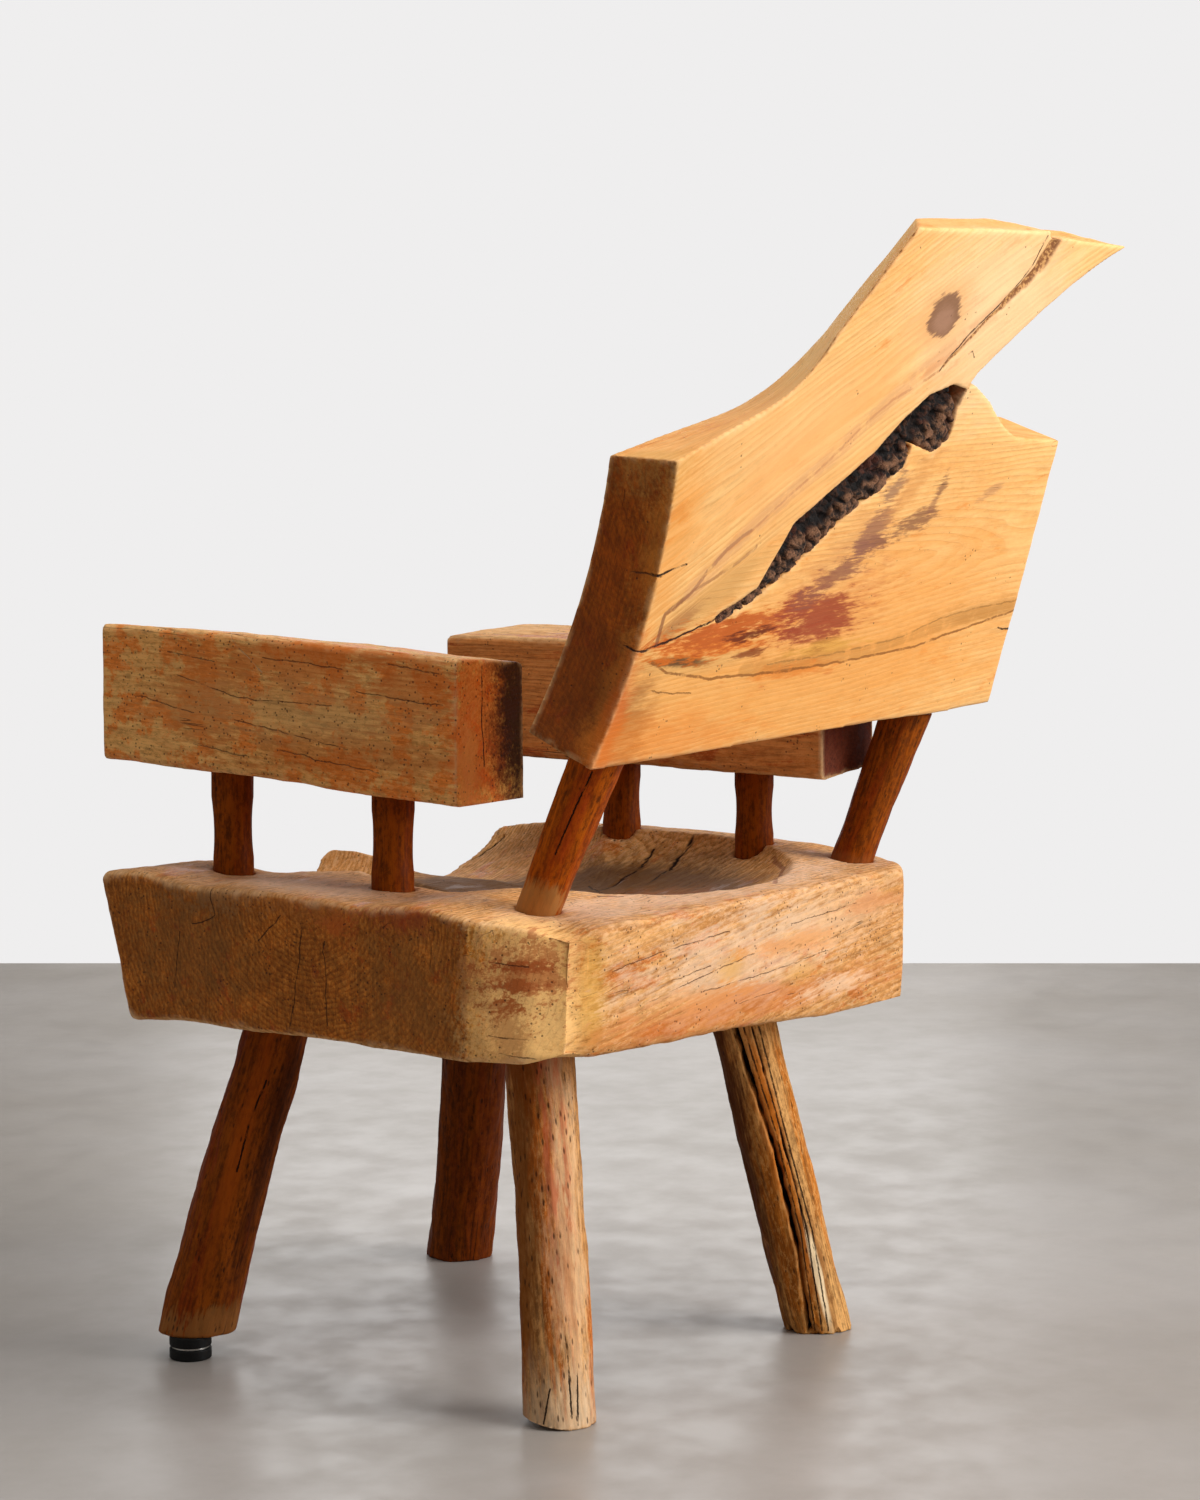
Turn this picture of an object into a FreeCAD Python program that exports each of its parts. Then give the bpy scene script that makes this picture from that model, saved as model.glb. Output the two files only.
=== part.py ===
import FreeCAD, Part
import math
import os
import Sketcher

# Twig chair: a thick half-log seat on four splayed branch legs, two raked back
# posts that carry a leaning crotch slab, and two beam armrests on four short
# round posts. Millimetres, +Z up, the sitter faces -Y, the sitter's left is +X.
# Every post is a branch end seated in a blind socket.

doc = FreeCAD.newDocument("TwigChair")
sheet = doc.addObject("Spreadsheet::Sheet", "Sizes")

# Named sizes. Plan places (x, y) are measured from the middle of the four legs.
SIZES = [
    # half-log seat slab
    ("seat_width", 602), ("seat_depth", 500), ("seat_height", 429),
    ("seat_thickness", 109), ("seat_middle_x", -1), ("seat_rear_y", 267),
    ("seat_edge_round", 7),
    # saddle carving of the seat
    ("dish_width", 436), ("dish_depth", 46), ("dish_x", -45), ("dish_centre_rise", 18),
    ("dish_front_margin", 75), ("dish_rear_margin", 19),
    ("scoop_depth", 41), ("scoop_rise", 15), ("scoop_length", 265),
    ("scoop_left_x", 85), ("scoop_left_radius", 125),
    ("scoop_right_x", -165), ("scoop_right_radius", 230),
    ("scoop_inner_left_x", 40), ("scoop_inner_right_x", -120),
    ("scoop_inner_radius", 105),
    # legs: where each stands on the floor and where its axis meets the slab
    ("front_left_foot_x", 211), ("front_left_foot_setback", 42),
    ("front_left_top_x", 165), ("front_left_top_setback", 109),
    ("front_left_top_dia", 61), ("front_left_foot_dia", 70),
    ("rear_left_foot_x", 192), ("rear_left_foot_y", 205),
    ("rear_left_top_x", 147), ("rear_left_top_y", 135),
    ("rear_left_top_dia", 58), ("rear_left_foot_dia", 61),
    ("rear_right_foot_x", -194), ("rear_right_foot_y", 218),
    ("rear_right_top_x", -136), ("rear_right_top_y", 162),
    ("rear_right_top_dia", 61), ("rear_right_foot_dia", 63),
    ("front_right_foot_x", -213), ("front_right_foot_setback", 9),
    ("front_right_top_x", -140), ("front_right_top_setback", 95),
    ("front_right_top_dia", 63), ("front_right_foot_dia", 65),
    ("leg_tenon", 56), ("leg_bow", 4),
    # levelling pads screwed under the front left leg
    ("pad_dia", 38), ("pad_thickness", 10), ("washer_dia", 34),
    ("washer_thickness", 1.6), ("pad_x", 228), ("pad_setback", 49), ("pad_round", 1.5),
    ("screw_dia", 5), ("screw_head_dia", 11), ("screw_head_height", 3.2),
    ("screw_grip", 26), ("screw_head_recess", 1.2),
    # arm posts
    ("arm_post_dia", 37), ("arm_post_waist", 1.5),
    ("post_front_left_x", 202), ("post_front_left_setback", 84),
    ("post_rear_left_x", 199), ("post_rear_left_y", 32),
    ("post_front_right_x", -250), ("post_front_right_setback", 185),
    ("post_rear_right_x", -250), ("post_rear_right_y", 107),
    ("post_seat_tenon", 38), ("post_arm_tenon", 36),
    # armrest beams
    ("arm_left_rise", 106), ("arm_right_rise", 87), ("arm_height", 116),
    ("arm_width", 92), ("arm_left_setback", -25), ("arm_right_setback", 41),
    ("arm_left_rear_y", 143), ("arm_right_rear_y", 216), ("arm_left_outer_x", 252),
    ("arm_right_inner_x", -195), ("arm_left_climb", 15), ("arm_right_climb", 1),
    ("arm_roll_drop", 7), ("arm_front_slant", 30), ("arm_edge_round", 7),
    # back posts
    ("back_post_seat_dia", 40), ("back_post_top_dia", 46),
    ("back_left_seat_x", 212), ("back_left_seat_y", 193), ("back_left_top_x", 212),
    ("back_right_seat_x", -250), ("back_right_seat_y", 215), ("back_right_top_x", -272),
    ("back_post_seat_tenon", 46), ("back_post_tenon", 48), ("back_tenon_dia", 32),
    # leaning crotch slab
    ("back_width", 633), ("back_height", 465), ("back_thickness", 68),
    ("back_rise", 137), ("back_rear_y", 295), ("back_middle_x", -44.5),
    ("back_lean", 19), ("crevice_depth", 44), ("bark_recess", 9),
    # fits
    ("socket_clearance", 0.3), ("overrun", 20),
    # plan middle of the whole chair, measured from the finished shapes below
    ("middle_x", 0), ("middle_y", 0),
]
for row, (alias, value) in enumerate(SIZES, start=1):
    sheet.set(f"A{row}", alias)
    sheet.set(f"B{row}", str(value))
    sheet.setAlias(f"B{row}", alias)
CELL = {alias: f"B{row}" for row, (alias, value) in enumerate(SIZES, start=1)}
doc.recompute()

UNDERSIDE = "(Sizes.seat_height - Sizes.seat_thickness)"
SEAT_FRONT = "(Sizes.seat_rear_y - Sizes.seat_depth)"
PAD_STACK = "(Sizes.pad_thickness * 2 + Sizes.washer_thickness)"


def size(alias):
    """Value of one named size."""
    return float(sheet.get(alias))


def depth_place(name):
    """Depth place: a front piece keeps its setback from the slab's front edge."""
    if "front" in name or "pad" in name:
        return f"({SEAT_FRONT} + Sizes.{name}_setback)"
    return f"Sizes.{name}_y"


def new_body(name, standing=True):
    """A body whose origin follows the plan middle of the chair."""
    body = doc.addObject("PartDesign::Body", name)
    body.Label = name
    if standing:
        body.setExpression("Placement.Base.x", "-Sizes.middle_x")
        body.setExpression("Placement.Base.y", "-Sizes.middle_y")
    return body


def sketch_on(body, role, name, place=None, turn=None):
    """Sketch on an origin plane, shifted by expressions (x, y, z) in its own axes."""
    plane = [f for f in body.Origin.OriginFeatures if f.Role == role][0]
    sketch = body.newObject("Sketcher::SketchObject", name)
    sketch.AttachmentSupport = [(plane, "")]
    sketch.MapMode = "FlatFace"
    if turn:
        axis, angle = turn
        sketch.AttachmentOffset = FreeCAD.Placement(
            FreeCAD.Vector(), FreeCAD.Rotation(axis, size("back_lean")))
        sketch.setExpression("AttachmentOffset.Rotation.Angle", angle)
    for axis_name, expression in zip("xyz", place or ()):
        sketch.setExpression(f"AttachmentOffset.Base.{axis_name}", expression)
    return sketch


def round_section(body, role, name, place, radius, turn=None):
    """Circle whose centre lies at the sketch origin."""
    sketch = sketch_on(body, role, name, place, turn)
    start = size("arm_post_dia") / 2
    sketch.addGeometry(Part.Circle(FreeCAD.Vector(), FreeCAD.Vector(0, 0, 1), start))
    sketch.addConstraint(Sketcher.Constraint("Coincident", 0, 3, -1, 1))
    index = sketch.addConstraint(Sketcher.Constraint("Radius", 0, start))
    sketch.setExpression(f"Constraints[{index}]", radius)
    return sketch


def fix_point(sketch, geometry, point, where):
    """Tie one point to two coordinate expressions."""
    for kind, (value, expression) in zip(("DistanceX", "DistanceY"), where):
        index = sketch.addConstraint(
            Sketcher.Constraint(kind, -1, 1, geometry, point, value))
        sketch.setExpression(f"Constraints[{index}]", expression)


def evaluate(expression):
    """Number behind an expression that uses the sheet only."""
    result = sheet.evalExpression(expression)
    return float(getattr(result, "Value", result))


def outline(body, role, name, corners, arcs=None, place=None, waste=None):
    """Closed outline. corners: (x, y) expressions; arcs: corner index -> via point.

    With waste, the sketch is the ring between that outer outline and this one.
    """
    sketch = sketch_on(body, role, name, place)
    add_loop(sketch, corners, arcs or {})
    if waste:
        add_loop(sketch, waste, {})
    return sketch


def add_loop(sketch, corners, arcs):
    """Closed loop of lines and arcs, every corner tied to its expressions."""
    points = [(evaluate(x), evaluate(y)) for x, y in corners]
    count = len(points)
    base = sketch.GeometryCount
    ends = []
    for i in range(count):
        start = FreeCAD.Vector(*points[i], 0)
        end = FreeCAD.Vector(*points[(i + 1) % count], 0)
        if i not in arcs:
            sketch.addGeometry(Part.LineSegment(start, end))
            ends.append((1, 2))
            continue
        via = FreeCAD.Vector(*(evaluate(e) for e in arcs[i]), 0)
        centre = Part.Circle(start, via, end).Center
        from_start, from_via, from_end = (
            math.atan2(p.y - centre.y, p.x - centre.x) for p in (start, via, end))
        turn = 2 * math.pi
        forward = (from_via - from_start) % turn < (from_end - from_start) % turn
        first, last = (from_start, from_end) if forward else (from_end, from_start)
        circle = Part.Circle(centre, FreeCAD.Vector(0, 0, 1), centre.distanceToPoint(start))
        sketch.addGeometry(Part.ArcOfCircle(circle, first, first + (last - first) % turn))
        ends.append((1, 2) if forward else (2, 1))
    for i in range(count):
        after = (i + 1) % count
        sketch.addConstraint(Sketcher.Constraint(
            "Coincident", base + i, ends[i][1], base + after, ends[after][0]))
        fix_point(sketch, base + i, ends[i][0], list(zip(points[i], corners[i])))
    for i, via in arcs.items():
        spot = [evaluate(e) for e in via]
        index = sketch.addGeometry(Part.Point(FreeCAD.Vector(*spot, 0)), True)
        fix_point(sketch, index, 1, list(zip(spot, via)))
        sketch.addConstraint(Sketcher.Constraint("PointOnObject", index, 1, base + i))


def loft(body, name, sketches, ruled=False, cut=False):
    """Additive or subtractive loft through a row of sketches."""
    kind = "PartDesign::SubtractiveLoft" if cut else "PartDesign::AdditiveLoft"
    feature = body.newObject(kind, name)
    feature.Profile = sketches[0]
    feature.Sections = sketches[1:]
    feature.Ruled = ruled
    doc.recompute()
    return feature


def socket(body, name, low, high, radius):
    """Blind round socket between two axis points, given as (x, y, z) expressions."""
    before = body.Shape.Volume
    wide = f"{radius} + Sizes.socket_clearance"
    rings = [round_section(body, "XY_Plane", f"{name}_{end}", spot, wide)
             for end, spot in (("low", low), ("high", high))]
    feature = loft(body, name, rings, ruled=True, cut=True)
    if not body.Shape.Volume < before:
        raise RuntimeError(f"{name} removes nothing")
    return feature


def round_edges(body, name, radius, chosen):
    """Fillet on the edges of the tip that the test picks."""
    base = body.Tip
    edges = [f"Edge{i}" for i, e in enumerate(base.Shape.Edges, start=1) if chosen(e)]
    feature = body.newObject("PartDesign::Fillet", name)
    feature.Base = (base, edges)
    feature.setExpression("Radius", radius)
    doc.recompute()
    return feature


def along(low, high, share):
    """Point expression on the axis through two points, at a share of their distance."""
    return tuple(f"({a}) + (({b}) - ({a})) * ({share})" for a, b in zip(low, high))


# Legs as axis points
LEGS = ("front_left", "rear_left", "rear_right", "front_right")


def leg_axis(leg):
    """Foot point and slab point of a leg's axis."""
    bottom = PAD_STACK if leg == "front_left" else "0"
    foot = (f"Sizes.{leg}_foot_x", depth_place(f"{leg}_foot"), bottom)
    top = (f"Sizes.{leg}_top_x", depth_place(f"{leg}_top"), UNDERSIDE)
    return foot, top


def beyond(low, high, rise):
    """Point on the axis past its high end by a rise, given as an expression."""
    share = f"(({rise}) / (({high[2]}) - ({low[2]})))"
    return tuple(f"({b}) + (({b}) - ({a})) * {share}" for a, b in zip(low, high))


# A leg is a slightly bowed branch below and runs straight into its socket above.
STRAIGHT_share = 0.78
LEG_BOW_shares = {
    "front_left": (0.5, -0.6), "rear_left": (-0.4, 0.3),
    "rear_right": (0.7, 0.4), "front_right": (-0.5, 0.5),
}
LEG_HEIGHT_shares = (0.0, 0.36, STRAIGHT_share)


def build_leg(leg):
    body = new_body(f"leg_{leg}")
    foot, top = leg_axis(leg)
    foot_radius, top_radius = f"Sizes.{leg}_foot_dia / 2", f"Sizes.{leg}_top_dia / 2"
    rings = []
    for number, share in enumerate(LEG_HEIGHT_shares):
        x, y, z = along(foot, top, share)
        swing = math.sin(math.pi * share / STRAIGHT_share)
        bow_x, bow_y = (round(b * swing, 4) for b in LEG_BOW_shares[leg])
        blend = round(share / STRAIGHT_share, 4)
        rings.append(round_section(
            body, "XY_Plane", f"{leg}_ring_{number}",
            (f"{x} + Sizes.leg_bow * {bow_x}", f"{y} + Sizes.leg_bow * {bow_y}", z),
            f"{foot_radius} + ({top_radius} - {foot_radius}) * {blend}"))
    loft(body, f"{leg}_branch", rings)
    straight = [round_section(body, "XY_Plane", f"{leg}_straight_{n}", spot, top_radius)
                for n, spot in enumerate((along(foot, top, STRAIGHT_share),
                                          beyond(foot, top, "Sizes.leg_tenon")))]
    loft(body, f"{leg}_tenon", straight, ruled=True)
    return body


legs = {leg: build_leg(leg) for leg in LEGS}

# Arm posts: a plain round end in the slab and one in the armrest, waisted between.
POSTS = ("front_left", "rear_left", "front_right", "rear_right")
POST_END_share = 0.24


def post_levels(post):
    """Lower end, slab level, armrest level and upper end of an arm post."""
    side = "left" if post.endswith("left") else "right"
    under_arm = f"(Sizes.seat_height + Sizes.arm_{side}_rise)"
    return ("(Sizes.seat_height - Sizes.post_seat_tenon)", "Sizes.seat_height",
            under_arm, f"({under_arm} + Sizes.post_arm_tenon)")


def build_arm_post(post):
    body = new_body(f"arm_post_{post}")
    x, y = f"Sizes.post_{post}_x", depth_place(f"post_{post}")
    low, seat_level, arm_level, high = post_levels(post)
    lower = f"({seat_level} + ({arm_level} - {seat_level}) * {POST_END_share})"
    upper = f"({arm_level} - ({arm_level} - {seat_level}) * {POST_END_share})"
    middle = f"(({lower} + {upper}) / 2)"
    radius = "Sizes.arm_post_dia / 2"
    waist = f"{radius} - Sizes.arm_post_waist"
    levels = (("end_low", low, radius), ("neck_low", lower, radius),
              ("waist", middle, waist), ("neck_high", upper, radius),
              ("end_high", high, radius))
    rings = [round_section(body, "XY_Plane", f"{post}_{name}", (x, y, level), r)
             for name, level, r in levels]
    loft(body, f"{post}_foot", rings[0:2], ruled=True)
    loft(body, f"{post}_shaft", rings[1:4])
    loft(body, f"{post}_head", rings[3:5], ruled=True)
    return body


arm_posts = {post: build_arm_post(post) for post in POSTS}

# Back posts: whittled to a plain end in the slab, thicker under the leaning slab,
# where each is cut square to the slab and enters it with a thinner tenon.
BACK_BOTTOM = "(Sizes.seat_height + Sizes.back_rise)"
LEAN = "(Sizes.back_lean * 1 deg)"
MID_BACK_share = 0.5
SHAFT_share = 0.6
SHAFT_GROWTH_share = 0.7
LEAN_TURN = (FreeCAD.Vector(-1, 0, 0), LEAN)


def on_back(across, depth, up):
    """Chair coordinates of a point of the leaning slab, depth being forward."""
    y = f"(Sizes.back_rear_y + ({up}) * sin{LEAN} - ({depth}) * cos{LEAN})"
    z = f"({BACK_BOTTOM} + ({up}) * cos{LEAN} + ({depth}) * sin{LEAN})"
    return (across, y, z)


def back_post_axis(side):
    """Slab point and top point of a back post."""
    seat_point = (f"Sizes.back_{side}_seat_x", f"Sizes.back_{side}_seat_y",
                  "Sizes.seat_height")
    top = on_back(f"Sizes.back_{side}_top_x",
                  f"Sizes.back_thickness * {MID_BACK_share}", "0")
    return seat_point, top


def build_back_post(side):
    body = new_body(f"back_post_{side}")
    seat_point, top = back_post_axis(side)
    low = beyond(top, seat_point, "-Sizes.back_post_seat_tenon")
    neck = along(seat_point, top, POST_END_share)
    middle = along(seat_point, top, SHAFT_share)
    seat_radius, top_radius = "Sizes.back_post_seat_dia / 2", "Sizes.back_post_top_dia / 2"
    growth = f"({top_radius} - {seat_radius}) * {SHAFT_GROWTH_share}"
    ring_low = round_section(body, "XY_Plane", f"{side}_end", low, seat_radius)
    ring_neck = round_section(body, "XY_Plane", f"{side}_neck", neck, seat_radius)
    ring_mid = round_section(body, "XY_Plane", f"{side}_mid", middle,
                             f"{seat_radius} + {growth}")
    ring_top = round_section(body, "XY_Plane", f"{side}_top", top, top_radius, LEAN_TURN)
    loft(body, f"{side}_whittled_end", [ring_low, ring_neck], ruled=True)
    loft(body, f"{side}_shaft", [ring_neck, ring_mid, ring_top])
    ring_tenon = round_section(body, "XY_Plane", f"{side}_tenon_ring", top,
                               "Sizes.back_tenon_dia / 2", LEAN_TURN)
    tenon = body.newObject("PartDesign::Pad", f"{side}_tenon")
    tenon.Profile = ring_tenon
    tenon.setExpression("Length", "Sizes.back_post_tenon")
    doc.recompute()
    return body


back_posts = {side: build_back_post(side) for side in ("left", "right")}

# Seat slab: three cross-sections of the half log. Each corner is (share of depth
# forward of the rear face, share of thickness above the underside), in the order
# front foot, front crest, crown, rear crest, rear foot.
SEAT_SECTION_shares = {
    "left": ((0.930, 0.046), (1.000, 1.128), (0.504, 1.229), (0.0, 1.000), (0.010, 0.073)),
    "middle": ((0.926, -0.018), (1.006, 1.100), (0.504, 1.193), (0.0, 1.0), (0.008, -0.018)),
    "right": ((0.914, -0.156), (0.992, 1.009), (0.504, 1.110), (0.0, 0.982), (0.022, -0.147)),
}
SEAT_STATION_shares = {"left": 0.5, "middle": 0.0, "right": -0.5}

# Plan of the slab: bowed ends and the sawn rear corners, as (share of width from the
# middle, share of depth forward of the rear face).
SEAT_PLAN_shares = (
    (0.473, 1.07), (0.502, 0.158), (0.389, -0.07), (-0.356, -0.07), (-0.397, -0.006),
    (-0.502, 0.142), (-0.467, 1.07),
)
SEAT_PLAN_ARC_shares = {0: (0.490, 0.574), 4: (-0.470, 0.038), 5: (-0.497, 0.494)}
WASTE_shares = ((0.7, 1.4), (0.7, -0.4), (-0.7, -0.4), (-0.7, 1.4))


def seat_yz(pair):
    forward, up = pair
    return (f"Sizes.seat_rear_y - Sizes.seat_depth * {forward}",
            f"{UNDERSIDE} + Sizes.seat_thickness * {up}")


def seat_xy(pair):
    across, forward = pair
    return (f"Sizes.seat_middle_x + Sizes.seat_width * {across}",
            f"Sizes.seat_rear_y - Sizes.seat_depth * {forward}")


seat = new_body("seat")
stations = []
for key, shares in SEAT_SECTION_shares.items():
    foot, crest, crown, rear, rear_foot = (seat_yz(p) for p in shares)
    side = SEAT_STATION_shares[key]
    reach = (f"Sizes.seat_middle_x + Sizes.seat_width * {side}"
             f" + Sizes.overrun * {2 * side}")
    stations.append(outline(seat, "YZ_Plane", f"section_{key}",
                            (foot, crest, rear, rear_foot), {1: crown},
                            ("0", "0", reach)))
loft(seat, "slab_blank", stations)

plan = outline(seat, "XY_Plane", "plan_outline", [seat_xy(p) for p in SEAT_PLAN_shares],
               {i: seat_xy(p) for i, p in SEAT_PLAN_ARC_shares.items()},
               waste=[seat_xy(p) for p in WASTE_shares])
trim = seat.newObject("PartDesign::Pocket", "trimmed_ends")
trim.Profile = plan
trim.Type = "ThroughAll"
trim.Midplane = True
doc.recompute()
round_edges(seat, "worn_edges", "Sizes.seat_edge_round", lambda edge: True)
before = seat.Shape.Volume

DISH_LENGTH = "(Sizes.seat_depth - Sizes.dish_front_margin - Sizes.dish_rear_margin)"
dish = seat.newObject("PartDesign::SubtractiveEllipsoid", "dish")
plane = [f for f in seat.Origin.OriginFeatures if f.Role == "XY_Plane"][0]
dish.AttachmentSupport = [(plane, "")]
dish.MapMode = "FlatFace"
dish.setExpression("AttachmentOffset.Base.x", "Sizes.dish_x")
dish.setExpression("AttachmentOffset.Base.y",
                   f"Sizes.seat_rear_y - Sizes.dish_rear_margin - {DISH_LENGTH} / 2")
dish.setExpression("AttachmentOffset.Base.z", "Sizes.seat_height + Sizes.dish_centre_rise")
dish.setExpression("Radius1", "Sizes.dish_depth")
dish.setExpression("Radius2", "Sizes.dish_width / 2")
dish.setExpression("Radius3", f"{DISH_LENGTH} / 2")
doc.recompute()
if not seat.Shape.Volume < before:
    raise RuntimeError("the dish removes nothing")

# Two leg scoops run from the front edge back into the dish and leave the pommel.
for side in ("left", "right"):
    mouth = f"Sizes.scoop_{side}_radius"
    low = "Sizes.seat_height - Sizes.scoop_depth"
    rings = [
        round_section(seat, "XZ_Plane", f"scoop_{side}_mouth",
                      (f"Sizes.scoop_{side}_x", f"{low} + {mouth}",
                       f"Sizes.overrun - {SEAT_FRONT}"), mouth),
        round_section(seat, "XZ_Plane", f"scoop_{side}_end",
                      (f"Sizes.scoop_inner_{side}_x",
                       f"{low} + Sizes.scoop_rise + Sizes.scoop_inner_radius",
                       f"-({SEAT_FRONT} + Sizes.scoop_length)"), "Sizes.scoop_inner_radius"),
    ]
    loft(seat, f"scoop_{side}", rings, ruled=True, cut=True)

for leg in LEGS:
    foot, top = leg_axis(leg)
    rise = f"(({top[2]}) - ({foot[2]}))"
    start = along(foot, top, STRAIGHT_share)
    end = beyond(foot, top, "Sizes.leg_tenon + Sizes.socket_clearance")
    socket(seat, f"leg_socket_{leg}", start, end, f"Sizes.{leg}_top_dia / 2")
for post in POSTS:
    low, seat_level, arm_level, high = post_levels(post)
    x, y = f"Sizes.post_{post}_x", depth_place(f"post_{post}")
    neck = f"({seat_level} + ({arm_level} - {seat_level}) * {POST_END_share})"
    socket(seat, f"post_socket_{post}", (x, y, f"{low} - Sizes.socket_clearance"),
           (x, y, f"{neck} + Sizes.overrun"), "Sizes.arm_post_dia / 2")
for side in ("left", "right"):
    seat_point, top = back_post_axis(side)
    low = beyond(top, seat_point,
                 "-(Sizes.back_post_seat_tenon + Sizes.socket_clearance)")
    neck = along(seat_point, top, POST_END_share)
    socket(seat, f"back_socket_{side}", low, neck, "Sizes.back_post_seat_dia / 2")

# Armrests: hewn beams, rolled a little inwards, with a slanting front end. Sections
# run outer foot, outer crest, inner crest, inner foot; the mouth is the front end.
ARM_STATION_shares = (1.0, 0.55, 0.0)
ARM_WIDTH_shares = {"left": (0.90, 0.98, 1.00), "right": (1.00, 0.97, 0.98)}
ARM_CROWN_shares = (0.0, 0.016, 0.0)


# Line of the slanting front end across the beam, past both of its sides.
SLANT_LINE_shares = (-0.2, 1.2)


def rounded(corners, radius, outward):
    """Rounded section from four corners: outer foot, outer crest, inner crest, inner foot."""
    nook = f"{radius} * {round(1 - math.sqrt(0.5), 4)}"
    across, up = (1, 1, -1, -1), (-1, 1, 1, -1)
    points, arcs = [], {}
    for i, (x, z) in enumerate(corners):
        out = across[i] * outward
        side_point = (x, f"({z}) - {radius} * {up[i]}")
        flat_point = (f"({x}) - {radius} * {out}", z)
        arcs[len(points)] = (f"({x}) - {nook} * {out}", f"({z}) - {nook} * {up[i]}")
        first_side = i in (1, 3)
        points += [side_point, flat_point] if first_side else [flat_point, side_point]
    return points, arcs


def build_armrest(side):
    body = new_body(f"armrest_{side}")
    outward = 1 if side == "left" else -1
    rear_y = f"Sizes.arm_{side}_rear_y"
    length = f"({rear_y} - {SEAT_FRONT} - Sizes.arm_{side}_setback)"
    edge = ("Sizes.arm_left_outer_x" if side == "left"
            else "(Sizes.arm_right_inner_x - Sizes.arm_width)")
    rings = []
    for n, forward in enumerate(ARM_STATION_shares):
        y = f"({rear_y} - {length} * {forward})"
        wide = f"Sizes.arm_width * {ARM_WIDTH_shares[side][n]}"
        foot = (f"Sizes.seat_height + Sizes.arm_{side}_rise"
                f" + Sizes.arm_{side}_climb * ({forward} - 0.5)")
        crest = f"{foot} + Sizes.arm_height * {1 + ARM_CROWN_shares[n]}"
        inner = f"{edge} - {wide} * {outward}"
        half_drop = "Sizes.arm_roll_drop / 2"
        corners = ((edge, f"{foot} + {half_drop}"), (edge, f"{crest} + {half_drop}"),
                   (inner, f"{crest} - {half_drop}"), (inner, f"{foot} - {half_drop}"))
        points, arcs = rounded(corners, "Sizes.arm_edge_round", outward)
        extra = " + Sizes.arm_front_slant" if forward == 1.0 else ""
        rings.append(outline(body, "XZ_Plane", f"{side}_beam_{n}", points, arcs,
                             ("0", "0", f"-{y}{extra}")))
    loft(body, f"{side}_beam", rings)
    before = body.Shape.Volume
    front_y = f"({rear_y} - {length})"
    inner = f"({edge} - Sizes.arm_width * {outward})"
    beyond_y = f"({front_y} - Sizes.arm_front_slant - Sizes.overrun)"
    slant = [(f"{inner} + ({edge} - {inner}) * ({share})",
              f"{front_y} - Sizes.arm_front_slant * (1 - {share})")
             for share in SLANT_LINE_shares]
    mouth = outline(body, "XY_Plane", f"{side}_front_cut",
                    slant + [(x, beyond_y) for x, y in reversed(slant)])
    cut = body.newObject("PartDesign::Pocket", f"{side}_slanted_front")
    cut.Profile = mouth
    cut.Type = "ThroughAll"
    cut.Midplane = True
    doc.recompute()
    if not body.Shape.Volume < before:
        raise RuntimeError(f"{side} front end is not cut")
    for post in POSTS:
        if not post.endswith(side):
            continue
        low, seat_level, arm_level, high = post_levels(post)
        x, y = f"Sizes.post_{post}_x", depth_place(f"post_{post}")
        neck = f"({arm_level} - ({arm_level} - {seat_level}) * {POST_END_share})"
        socket(body, f"arm_socket_{post}", (x, y, neck),
               (x, y, f"{high} + Sizes.socket_clearance"), "Sizes.arm_post_dia / 2")
    return body


armrests = {side: build_armrest(side) for side in ("left", "right")}

# Leaning slab, drawn in its own axes: x across the chair, z up along the slab, rear
# face at y = 0 and front face at -thickness. Corners are (share of width from the
# middle, share of height), from the lower left corner round the natural upper edge,
# the pointed strip, the notch, the horn and down the right end.
BACK_REAR_shares = (
    (0.500, 0.000), (0.503, 0.561), (0.339, 0.649), (0.225, 0.787), (0.105, 0.987),
    (-0.246, 1.000), (-0.251, 0.990), (-0.473, 0.981), (-0.168, 0.720), (-0.141, 0.673),
    (-0.165, 0.701), (-0.225, 0.664), (-0.337, 0.591), (-0.459, 0.585), (-0.500, 0.022),
)
BACK_REAR_ARC_shares = {
    0: (0.473, 0.215), 2: (0.269, 0.710), 7: (-0.269, 0.826), 11: (-0.279, 0.619),
    13: (-0.481, 0.301),
}
# The waney upper edge slopes, so the front face is smaller there.
BACK_FRONT_shares = (
    (0.500, 0.012), (0.491, 0.520), (0.252, 0.600), (0.077, 0.746), (-0.066, 0.970),
    (-0.262, 0.981), (-0.266, 0.970), (-0.473, 0.968), (-0.168, 0.720), (-0.141, 0.673),
    (-0.165, 0.701), (-0.225, 0.664), (-0.337, 0.591), (-0.459, 0.585), (-0.500, 0.034),
)
BACK_FRONT_ARC_shares = {
    0: (0.470, 0.215), 2: (0.152, 0.662), 7: (-0.269, 0.820), 11: (-0.279, 0.619),
    13: (-0.481, 0.301),
}
# Bark pocket: upper rim from the notch down to its thin left end, then the lower rim.
CREVICE_shares = (
    (-0.151, 0.688), (-0.113, 0.697), (-0.059, 0.677), (-0.007, 0.628), (0.040, 0.568),
    (0.113, 0.503), (0.189, 0.437), (0.209, 0.383), (0.235, 0.320), (0.317, 0.267),
    (0.306, 0.256), (0.236, 0.295), (0.178, 0.340), (0.127, 0.389), (0.058, 0.458),
    (0.006, 0.492), (-0.042, 0.542), (-0.047, 0.585), (-0.107, 0.566), (-0.140, 0.596),
    (-0.137, 0.645),
)
BARK_END_share = (-0.126, 0.671)


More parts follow.
